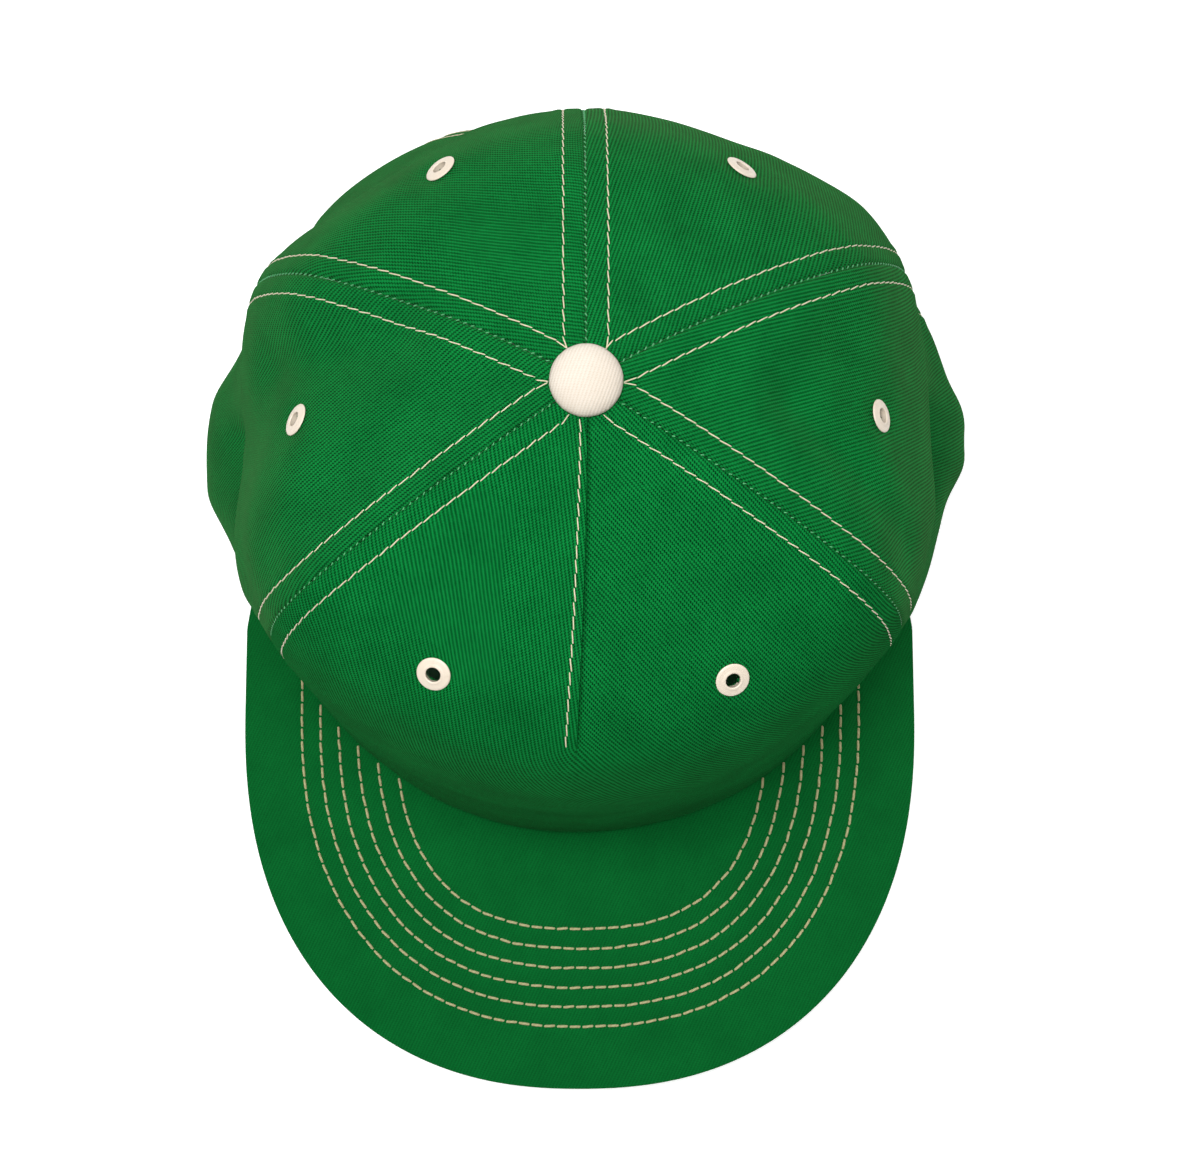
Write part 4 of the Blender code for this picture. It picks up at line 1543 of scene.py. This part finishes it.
@dataclass
class Crown:
    """The crown: five panels with their topstitching."""

    shape: CrownShape
    sewing: Sewing = field(default_factory=Sewing)
    hem_row: float = 3.6 * MM
    arch_rows: tuple[float, ...] = (2.2 * MM, 7.2 * MM)
    back_end: float = 0.048
    back_thread_end: float = 0.050
    back_spread: float = 3.0
    thread_start: float = 8.4 * MM
    thread_depth: float = 0.32 * MM
    end_margin: float = 0.4
    arch_foot: float = 0.4 * MM
    arch_start: float = 0.02
    arch_steps: int = 260
    first_seed: float = 2.0
    seed_step: float = 11.3

    def panels(self) -> dict[str, CrownPanel]:
        """Lay out the panels, each with its seams, its ribs and a seed of its own.

        Returns:
            The panels by name.
        """
        rows = (
            ("front_panel", SEAMS["front_left"], SEAMS["front_right"], (97.0, 133.0)),
            ("right_panel", SEAMS["front_right"], SEAMS["back_right"].past(1), (17.0,)),
            ("back_right_panel", SEAMS["back_right"], SEAMS["back"], (71.0,)),
            ("back_left_panel", SEAMS["back"], SEAMS["back_left"], (172.0,)),
            ("left_panel", SEAMS["back_left"], SEAMS["front_left"], (37.0,)),
        )
        return {name: CrownPanel(name, first, last, ribs, self.shape, self.sewing,
                                 self.seed_step * number + self.first_seed)
                for number, (name, first, last, ribs) in enumerate(rows)}

    def build(self) -> None:
        """Make the panels and sew them."""
        panels = self.panels()
        for panel in panels.values():
            panel.build()
        topstitch = Needlework(CROWN_PITCH, CROWN_DASH, CROWN_GAUGE, CROWN_THREAD)
        for panel in panels.values():
            runs = self.seam_runs(panel)
            if panel.node == "front_panel":
                runs.append(self.dart_run(panel))
            topstitch.sew(f"{panel.node}_topstitch", runs + self.hem_runs(panel))
        self.sew_seams(panels)

    def seam_runs(self, panel: CrownPanel) -> list[StitchRun]:
        """Return a panel's stitch lines beside its two seams.

        Args:
            panel: The panel.

        Returns:
            The lines.
        """
        runs = []
        for seam, sign in ((panel.first, 1.0), (panel.last, -1.0)):
            low = float(self.shape.down_at_way(seam.rim, self.sewing.line_start))
            high, hang = 1.0, self.shape.hem - self.hem_row
            if seam == SEAMS["back"]:
                high = float(self.shape.down_at_height(seam.rim + self.back_spread * sign, self.back_end))
                hang = 0.0
            runs.append(panel.seam_run(seam, sign, low, high, hang))
        return runs

    def dart_run(self, panel: CrownPanel) -> StitchRun:
        """Return the stitch line beside the dart.

        Args:
            panel: The front panel.

        Returns:
            The line.
        """
        ends = np.array([self.sewing.line_start, self.sewing.dart_length])
        down = np.linspace(*self.shape.down_at_way(DART.rim, ends), ROW_STEPS)
        off = self.sewing.dart_stitch(self.shape.way(DART.rim, down))
        angle = DART.angle(down) - np.degrees(off / panel.reach(DART, down))
        return StitchRun(panel.surface(angle, down), self.shape.normal(angle, down))

    def hem_runs(self, panel: CrownPanel) -> list[StitchRun]:
        """Return a panel's stitch lines along its hem and along the rear opening.

        Args:
            panel: The panel.

        Returns:
            The lines.
        """
        low, high = panel.first.rim + self.end_margin, panel.last.rim - self.end_margin
        runs = []
        if panel.node.startswith("back"):
            sign = 1.0 if panel.node == "back_left_panel" else -1.0
            for off in self.arch_rows:
                turn = np.linspace(self.arch_start, math.pi / 2, self.arch_steps)
                across = (panel.arch_half_width + off) * np.sin(turn)
                height = (panel.arch_height + off) * np.cos(turn)
                angle = BACK + sign * np.degrees(across / self.shape.back_reach)
                runs.append(panel.edge_run(angle, np.maximum(height, self.arch_foot)))
            foot = math.degrees((panel.arch_half_width + self.arch_rows[-1]) / self.shape.back_reach)
            low, high = (BACK + foot, high) if sign > 0 else (low, BACK - foot)
        if panel.node != "front_panel":
            angle = np.linspace(low, high, ROW_STEPS)
            runs.append(panel.edge_run(angle, np.full(ROW_STEPS, self.hem_row)))
        return runs

    def sew_seams(self, panels: dict[str, CrownPanel]) -> None:
        """Sew the small green stitches that hold each seam and show in it.

        Args:
            panels: The panels by name.
        """
        back = Needlework(pitch=1.8 * MM, dash=0.9 * MM, thickness=0.28 * MM, dress=SEAM_THREAD,
                          sink=-0.02 * MM, slant=30.0)
        front = replace(back, sink=0.16 * MM, chance=random.Random(9))
        owners = {"back": "back_left_panel", "back_left": "left_panel", "front_left": "front_panel",
                  "front_right": "right_panel", "back_right": "back_right_panel"}
        for name, owner in owners.items():
            seam = panels[owner].first
            low = float(self.shape.down_at_way(seam.rim, self.thread_start))
            high = 1.0
            if name == "back":
                high = float(self.shape.down_at_height(seam.rim, self.back_thread_end))
            down = np.linspace(low, high, LINE_STEPS)
            points = self.shape.place(seam.angle(down), down, -self.thread_depth)
            joiner = front if name.startswith("front") else back
            joiner.sew(f"{name}_seam_thread", [StitchRun(points, self.shape.normal(seam.angle(down), down))])


# The peak and the strap


@dataclass
class Peak:
    """The peak: a quilted board from inside the crown's rim to its outline, arched across."""

    crown: CrownShape
    tuck: float = 0.004
    squareness: float = 2.3
    straight: float = 0.065
    side_start: float = 0.042
    side_share: float = 0.9985
    first_row: float = 16.1 * MM
    row_step: float = 5.05 * MM
    rows: int = 6
    columns: int = 320
    loft_rows: int = 96
    valley: float = 0.34 * MM
    valley_width: float = 0.9 * MM
    waves: float = 0.12 * MM
    wave_rates: tuple[float, float, float] = (45.0, 45.0, 60.0)
    seed: float = 5.0
    rib: float = 64.0
    edge_rounding: float = 0.9 * MM
    below: tuple[float, float, float] = (0.0, -0.1, -1.0)
    crown_gap: float = 0.4 * MM
    edge_gap: float = 0.5 * MM
    tip_points: int = 240
    edge_points: int = 700
    row_points: int = 1000

    def outline(self) -> np.ndarray:
        """Work out the peak's edge.

        Returns:
            Its points in plan, from its left corner round its tip to its right one.
        """
        corner = in_plan(self.crown.peak_corner, float(self.crown.rim_reach(self.crown.peak_corner)))
        side = [-self.side_share * self.crown.peak_half_width, -self.side_start]
        turn = np.radians(np.linspace(0.0, 90.0, self.tip_points))
        x = self.crown.peak_half_width * np.clip(np.cos(turn), 0.0, 1.0) ** (2 / self.squareness)
        front = self.crown.front_reach + self.crown.peak_length - self.straight
        y = self.straight + front * np.sin(turn) ** (2 / self.squareness)
        left = np.vstack([corner, side, np.column_stack([-x, -y])])
        return np.vstack([left, left[-2::-1] * np.array([-1.0, 1.0])])

    @property
    def row_offs(self) -> list[float]:
        """The distances of the rows of stitches from the peak's edge."""
        return [self.first_row + row * self.row_step for row in range(self.rows)]

    @staticmethod
    def spread(points: np.ndarray, count: int) -> np.ndarray:
        """Spread points evenly along a line.

        Args:
            points: The line's points, in plan.
            count: How many points to return.

        Returns:
            The points.
        """
        length = np.concatenate([[0.0], np.cumsum(np.linalg.norm(np.diff(points, axis=0), axis=1))])
        at = np.linspace(0.0, length[-1], count)
        return np.column_stack([np.interp(at, length, points[:, axis]) for axis in range(2)])

    def from_edge(self, plan: np.ndarray) -> np.ndarray:
        """Return the distances of places from the peak's edge.

        Args:
            plan: The places, in plan.

        Returns:
            The distance of each.
        """
        edge = self.spread(self.outline(), self.edge_points)
        near = [np.min(np.hypot(*(edge - place).T)) for place in plan.reshape(-1, 2)]
        return np.array(near).reshape(plan.shape[:-1])

    def relief(self, plan: np.ndarray) -> np.ndarray:
        """Return how far the quilting and the cloth's waves lift the peak's face.

        Args:
            plan: Places in plan.

        Returns:
            The lift at each.
        """
        distance = self.from_edge(plan)
        places = np.concatenate([plan, distance[..., None]], axis=-1) * self.wave_rates
        lift = self.waves * wavy(places, self.seed)
        for off in self.row_offs:
            lift = lift - self.valley * ridge(distance - off, self.valley_width)
        return lift

    def top(self, plan: np.ndarray) -> np.ndarray:
        """Return points of the peak's upper face at places in plan."""
        height = self.crown.peak_top(plan[..., 0], plan[..., 1]) + self.relief(plan)
        return np.concatenate([plan, height[..., None]], axis=-1) + self.crown.axis

    def build(self) -> None:
        """Make the peak and its rows of stitches."""
        angle = np.linspace(self.crown.peak_corner, mirrored(self.crown.peak_corner), ROW_STEPS)
        inner = self.spread(in_plan(angle, self.crown.rim_reach(angle) - self.tuck), self.columns)
        outer = self.spread(self.outline(), self.columns)
        share = np.linspace(0.0, 1.0, self.loft_rows)[:, None, None]
        plan = inner * (1 - share) + outer * share
        peak = shaped_sheet("peak_cloth", self.top(plan), along_ribs(plan, math.radians(self.rib)),
                            self.crown.axis + self.below)
        thicken(peak, self.crown.peak_thickness, self.edge_rounding, 3)
        smooth_shade(peak)
        finish_piece(peak, PEAK_TWILL, "peak")
        self.sew_rows()

    def sew_rows(self) -> None:
        """Sew the rows of stitches that follow the peak's edge."""
        edge = self.spread(self.outline()[1:-1], self.row_points)
        along = unit(np.gradient(edge, axis=0))
        inward = np.column_stack([-along[:, 1], along[:, 0]])
        runs = []
        for off in self.row_offs:
            plan = edge + inward * off
            turn = np.degrees(np.arctan2(plan[:, 1], plan[:, 0]))
            free = np.hypot(plan[:, 0], plan[:, 1]) > self.crown.rim_reach(turn) + self.crown_gap
            free &= self.from_edge(plan) > off - self.edge_gap
            plan = plan[free]
            slopes = []
            for step in (np.array([MM, 0.0]), np.array([0.0, MM])):
                rise = self.crown.peak_top(*(plan + step).T) - self.crown.peak_top(*(plan - step).T)
                slopes.append(rise / (2 * MM))
            normals = unit(np.column_stack([-slopes[0], -slopes[1], np.ones(len(plan))]))
            runs.append(StitchRun(self.top(plan), normals))
        thread = Needlework(pitch=3.3 * MM, dash=3.20 * MM, thickness=0.72 * MM, dress=PEAK_THREAD,
                            sink=0.22 * MM, slant=2.0, stray=0.13 * MM)
        thread.sew("peak_stitching", runs)


@dataclass
class Strap:
    """The plain cloth strap across the rear opening, inside the back panels."""

    crown: CrownShape
    arch_half_width: float = 0.042
    height: float = 0.020
    lap: float = 0.018
    lift: float = 0.001
    thickness: float = 0.0018
    clearance: float = 0.0008
    columns: int = 140
    rows: int = 48
    margin: float = 2.4 * MM
    end_margin: float = 0.8
    puff: float = 0.2 * MM
    puff_width: float = 2.2 * MM
    stitch_pull: float = 1.5
    pull_width: float = 0.7 * MM
    rib: float = 58.0
    edge_rounding: float = 0.4 * MM

    def surface(self, angle: np.ndarray, height: np.ndarray) -> np.ndarray:
        """Return points of the strap's outer face.

        Args:
            angle: Angles round the button.
            height: Heights above the floor.

        Returns:
            The points.
        """
        down = self.crown.down_at_height(angle, np.maximum(height, self.crown.hem))
        out = level_out(angle)
        place = self.crown.place(angle, down) - (self.crown.cloth + self.clearance) * out
        share = (height - self.lift) / self.height
        off = np.minimum(share, 1 - share) * self.height - self.margin
        puff = ridge(off, self.puff_width) - self.stitch_pull * ridge(off, self.pull_width)
        puff = self.puff * puff
        return np.concatenate([place[..., :2], height[..., None]], axis=-1) + puff[..., None] * out

    def build(self) -> None:
        """Make the strap and its two rows of stitches."""
        half = math.degrees((self.arch_half_width + self.lap) / self.crown.back_reach)
        angle, height = np.meshgrid(np.linspace(BACK - half, BACK + half, self.columns),
                                    np.linspace(self.lift + self.height, self.lift, self.rows))
        flat = np.stack([np.radians(angle) * self.crown.back_reach, height], axis=-1)
        strap = shaped_sheet("strap_cloth", self.surface(angle, height),
                             along_ribs(flat, math.radians(self.rib)),
                             self.crown.axis + np.array([0.0, 0.0, self.height]))
        thicken(strap, self.thickness, self.edge_rounding, 2)
        smooth_shade(strap)
        finish_piece(strap, CROWN_TWILL, "strap")
        half -= self.end_margin
        line = np.linspace(BACK - half, BACK + half, ROW_STEPS)
        runs = [StitchRun(self.surface(line, np.full(ROW_STEPS, self.lift + off)), level_out(line))
                for off in (self.margin, self.height - self.margin)]
        Needlework(CROWN_PITCH, CROWN_DASH, CROWN_GAUGE, CROWN_THREAD).sew("strap_topstitch", runs)


# The button and the eyelets


@dataclass
class CoveredButton:
    """The cloth-covered button on top of the crown."""

    crown: CrownShape
    radius: float = 0.0079
    height: float = 0.0042
    dome_share: float = 0.86
    dome_turns: tuple[float, float] = (80.0, 4.0)
    dome_rings: int = 20
    fullness: float = 0.9
    lip: tuple[tuple[float, float], ...] = ((0.995, -0.35 * MM), (0.975, -0.45 * MM), (0.90, -0.55 * MM))
    sides: int = 96
    pleat: float = 0.10 * MM
    pleat_rate: float = 3.0
    fine_pleat: float = 0.06 * MM
    fine_pleat_rate: float = 9.0
    pleat_fade: int = 6
    pleat_out: float = 0.7
    stretch: float = 0.12
    rib: float = 71.0

    def build(self) -> None:
        """Make the button: a domed cap of cloth, drawn in under its edge."""
        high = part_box("button")[1]
        rise = self.dome_share * self.height
        deselect()
        bpy.ops.mesh.primitive_circle_add(vertices=self.sides, radius=self.radius, fill_type="NOTHING")
        button = bpy.context.object
        button.name = button.data.name = "button_cloth"
        bpy.ops.object.mode_set(mode="EDIT")
        bpy.ops.mesh.select_all(action="SELECT")
        self.draw_out(self.lip)
        bpy.ops.object.mode_set(mode="OBJECT")
        for vertex in button.data.vertices:
            vertex.select = abs(vertex.co.z) < 1e-6
        bpy.ops.object.mode_set(mode="EDIT")
        turns = [math.radians(turn) for turn in np.linspace(*self.dome_turns, self.dome_rings)]
        self.draw_out([(math.sin(turn) ** self.fullness, math.cos(turn) * rise) for turn in turns])
        bpy.ops.mesh.select_all(action="SELECT")
        bpy.ops.mesh.normals_make_consistent(inside=False)
        bpy.ops.object.mode_set(mode="OBJECT")
        self.wrap(button)
        button.location = Vector((*self.crown.axis[:2], high.z - rise))
        apply_place(button)
        smooth_shade(button)
        finish_piece(button, BUTTON_TWILL, "button")

    @staticmethod
    def draw_out(steps: Iterable[tuple[float, float]]) -> None:
        """Draw the selected ring out, and close it.

        Args:
            steps: The share of its radius and the height at each step.
        """
        last_share, last_height = 1.0, 0.0
        for share, height in steps:
            bpy.ops.mesh.extrude_edges_move()
            bpy.ops.transform.resize(value=(share / last_share, share / last_share, 1.0))
            bpy.ops.transform.translate(value=(0.0, 0.0, height - last_height))
            last_share, last_height = share, height
        bpy.ops.mesh.edge_face_add()
        bpy.ops.mesh.select_all(action="DESELECT")

    def wrap(self, button: bpy.types.Object) -> None:
        """Crease the cloth where it is drawn over the edge, and lay out its UV map.

        Args:
            button: The button's object.
        """
        mesh = button.data
        for vertex in mesh.vertices:
            reach = math.hypot(vertex.co.x, vertex.co.y) / self.radius
            turn = math.atan2(vertex.co.y, vertex.co.x)
            out = Vector((math.cos(turn), math.sin(turn), 0.0))
            pleat = self.pleat * noise.noise(out * self.pleat_rate + Vector((0.0, 0.0, 4.0)))
            pleat += self.fine_pleat * noise.noise(out * self.fine_pleat_rate + Vector((0.0, 0.0, 8.0)))
            pleat *= min(1.0, reach) ** self.pleat_fade
            vertex.co += out * pleat * self.pleat_out
            vertex.co.z += pleat
        layer = mesh.uv_layers.active or mesh.uv_layers.new(name="Cloth")
        layer.name = "Cloth"
        for loop in mesh.loops:
            place = mesh.vertices[loop.vertex_index].co
            spread = 1.0 + self.stretch * (math.hypot(place.x, place.y) / self.radius) ** 2
            flat = np.array([place.x * spread, place.y * spread])
            layer.data[loop.index].uv = along_ribs(flat, math.radians(self.rib))


@dataclass
class Eyelets:
    """The six enamelled eyelets: one is modelled and copied.

    The flange's outline is given in shares of its radius and height.
    """

    crown: CrownShape
    radius: float = 3.78 * MM
    bore: float = 1.80 * MM
    barrel: float = 2.35 * MM
    height: float = 0.72 * MM
    stand_off: float = 0.1 * MM
    sharp: float = 50.0
    flange: tuple[tuple[float, float], ...] = (
        (0.992, 0.06), (1.00, 0.20), (0.985, 0.36), (0.94, 0.50), (0.86, 0.60), (0.80, 0.66), (0.785, 0.645),
        (0.77, 0.68), (0.70, 0.74), (0.685, 0.725), (0.67, 0.76), (0.61, 0.84), (0.56, 0.95), (0.52, 1.00),
        (0.48, 0.97), (0.452, 0.86), (0.4375, 0.66))
    sides: int = 48

    @property
    def profile(self) -> list[tuple[float, float]]:
        """The section's outline.

        Returns:
            Radius and height of each point, from under the flange over it and down the bore.
        """
        inside = -(self.crown.cloth + self.stand_off)
        start = [(self.barrel, inside), (self.barrel, 0.0), (0.96 * self.radius, -0.02 * MM)]
        flange = [(share * self.radius, rise * self.height) for share, rise in self.flange]
        funnel = [(self.bore, 0.3 * self.height), (1.06 * self.bore, -0.6 * self.height)]
        return [*start, *flange, *funnel, (1.3 * self.bore, inside)]

    def model(self) -> bpy.types.Object:
        """Model one eyelet: a ring drawn out along its profile and closed.

        Returns:
            The eyelet.
        """
        profile = self.profile
        deselect()
        bpy.ops.mesh.primitive_circle_add(vertices=self.sides, radius=profile[0][0], fill_type="NOTHING",
                                          location=(0.0, 0.0, profile[0][1]))
        eyelet = bpy.context.object
        apply_place(eyelet)
        bpy.ops.object.mode_set(mode="EDIT")
        bpy.ops.mesh.select_all(action="SELECT")
        for (near, low), (far, high) in zip(profile, profile[1:]):
            bpy.ops.mesh.extrude_edges_move()
            bpy.ops.transform.resize(value=(far / near, far / near, 1.0))
            bpy.ops.transform.translate(value=(0.0, 0.0, high - low))
        bpy.ops.mesh.select_all(action="DESELECT")
        bpy.ops.mesh.select_non_manifold()
        bpy.ops.mesh.bridge_edge_loops()
        bpy.ops.mesh.select_all(action="SELECT")
        bpy.ops.mesh.normals_make_consistent(inside=False)
        bpy.ops.object.mode_set(mode="OBJECT")
        return eyelet

    def build(self) -> None:
        """Make the six eyelets and set each in its panel."""
        model = self.model()
        for place in EYELETS:
            centre = Vector(place.centre(self.crown))
            normal = Vector(place.normal(self.crown))
            eyelet = model.copy()
            eyelet.data = model.data.copy()
            eyelet.name = eyelet.data.name = f"{place.node}_ring"
            bpy.context.collection.objects.link(eyelet)
            turn = normal.to_track_quat("Z", "Y").to_matrix().to_4x4()
            eyelet.matrix_world = Matrix.Translation(centre + normal * self.stand_off) @ turn
            apply_place(eyelet)
            smooth_shade(eyelet, self.sharp)
            finish_piece(eyelet, EYELET_ENAMEL, place.node)
        bpy.data.objects.remove(model, do_unlink=True)


# The studio


@dataclass(frozen=True)
class Lamp:
    """A light: its name, kind, place and power. It shines from its place towards the middle."""

    name: str
    kind: str
    place: tuple[float, float, float]
    power: float


@dataclass
class Studio:
    """The pale floor, the soft lights and the camera above the cap."""

    crown: CrownShape
    frame_width: int = 1200
    focal_pixels: float = 2090.0
    elevation: float = 84.0
    pan: float = 0.01866
    camera_place: tuple[float, float, float] = (-0.0065, -0.0542, 0.567)
    camera_start: float = 0.01
    fill: float = 0.12
    backdrop: float = 0.82
    floor_size: float = 6.0
    floor_drop: float = 0.2 * MM
    floor_paper: tuple[float, float, float, float] = (0.93, 0.93, 0.93, 1.0)
    floor_grain: float = 300.0
    floor_roughness: Spread = (0.3, 0.7, 0.86, 0.94)
    floor_glow: float = 0.50
    glow_blend: float = 2.0 * MM
    sun_spread: float = 30.0
    lamp_size: float = 0.30
    lamps: tuple[Lamp, ...] = (
        Lamp("overhead_lamp", "AREA", (-0.05, -0.02, 0.66), 4.05),
        Lamp("back_light", "SUN", (0.33, 0.82, 0.47), 0.70),
        Lamp("left_light", "SUN", (-0.80, 0.25, 0.55), 0.75),
        Lamp("right_light", "SUN", (0.85, 0.35, 0.40), 0.32),
    )

    def floor(self) -> None:
        """Lay the floor, which glows like a light table, but not inside the cap."""
        deselect()
        bpy.ops.mesh.primitive_plane_add(size=self.floor_size, location=(0.0, 0.0, -self.floor_drop))
        floor = bpy.context.object
        floor.name = "studio_floor"
        material = bpy.data.materials.new("floor_paper")
        material.use_nodes = True
        wire = Wiring(material.node_tree)
        shader = material.node_tree.nodes["Principled BSDF"]
        place = wire.object_place()
        grain = wire.noise(place, self.floor_grain, detail=3.0)
        wire.join(wire.map_range(grain, *self.floor_roughness), shader.inputs["Roughness"])
        shader.inputs["Base Color"].default_value = self.floor_paper
        shader.inputs["Emission Color"].default_value = (1.0, 1.0, 1.0, 1.0)
        away = wire.node("ShaderNodeVectorMath", operation="SUBTRACT")
        wire.join(place, away.inputs[0])
        away.inputs[1].default_value = (*self.crown.axis[:2], 0.0)
        length = wire.node("ShaderNodeVectorMath", operation="LENGTH")
        wire.join(away.outputs[0], length.inputs[0])
        rim = self.crown.half_width - self.crown.cloth
        glow = wire.map_range(length.outputs["Value"], rim - self.glow_blend, rim, 0.0, self.floor_glow)
        wire.join(glow, shader.inputs["Emission Strength"])
        floor.data.materials.append(material)

    def lights(self) -> None:
        """Set the pale surroundings, a soft lamp overhead and soft lights from behind and both sides."""
        world = bpy.data.worlds.new("studio")
        bpy.context.scene.world = world
        world.use_nodes = True
        wire = Wiring(world.node_tree)
        background = world.node_tree.nodes["Background"]
        background.inputs["Color"].default_value = (1.0, 1.0, 1.0, 1.0)
        seen = wire.node("ShaderNodeLightPath").outputs["Is Camera Ray"]
        strength = wire.math("MULTIPLY_ADD", seen, self.backdrop - self.fill, self.fill)
        wire.join(strength, background.inputs["Strength"])
        for lamp in self.lamps:
            deselect()
            bpy.ops.object.light_add(type=lamp.kind, location=lamp.place)
            light = bpy.context.object
            light.name = lamp.name
            light.rotation_euler = Vector(lamp.place).to_track_quat("Z", "Y").to_euler()
            light.data.energy = lamp.power
            if lamp.kind == "SUN":
                light.data.angle = math.radians(self.sun_spread)
            else:
                light.data.shape = "DISK"
                light.data.size = self.lamp_size
        bpy.context.scene.view_settings.view_transform = "Standard"

    def camera(self) -> None:
        """Set the camera at the photograph's angle above the floor."""
        deselect()
        bpy.ops.object.camera_add(location=self.camera_place)
        camera = bpy.context.object
        tilt = Matrix.Rotation(math.radians(90.0 - self.elevation), 3, "X")
        camera.rotation_euler = (tilt @ Matrix.Rotation(-self.pan, 3, "Y")).to_euler()
        camera.data.sensor_fit = "HORIZONTAL"
        camera.data.lens = camera.data.sensor_width * self.focal_pixels / self.frame_width
        camera.data.clip_start = self.camera_start
        bpy.context.scene.camera = camera

    def build(self) -> None:
        """Set up the studio."""
        self.floor()
        self.lights()
        self.camera()


def main() -> None:
    """Build the dressed cap and its studio."""
    logging.basicConfig(level=logging.INFO, format="%(message)s")
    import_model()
    low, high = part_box("button")
    crown = CrownShape(np.array([(low.x + high.x) / 2, (low.y + high.y) / 2, 0.0]))
    Crown(crown).build()
    Peak(crown).build()
    Strap(crown).build()
    CoveredButton(crown).build()
    Eyelets(crown).build()
    Studio(crown).build()


if __name__ == "__main__":
    main()
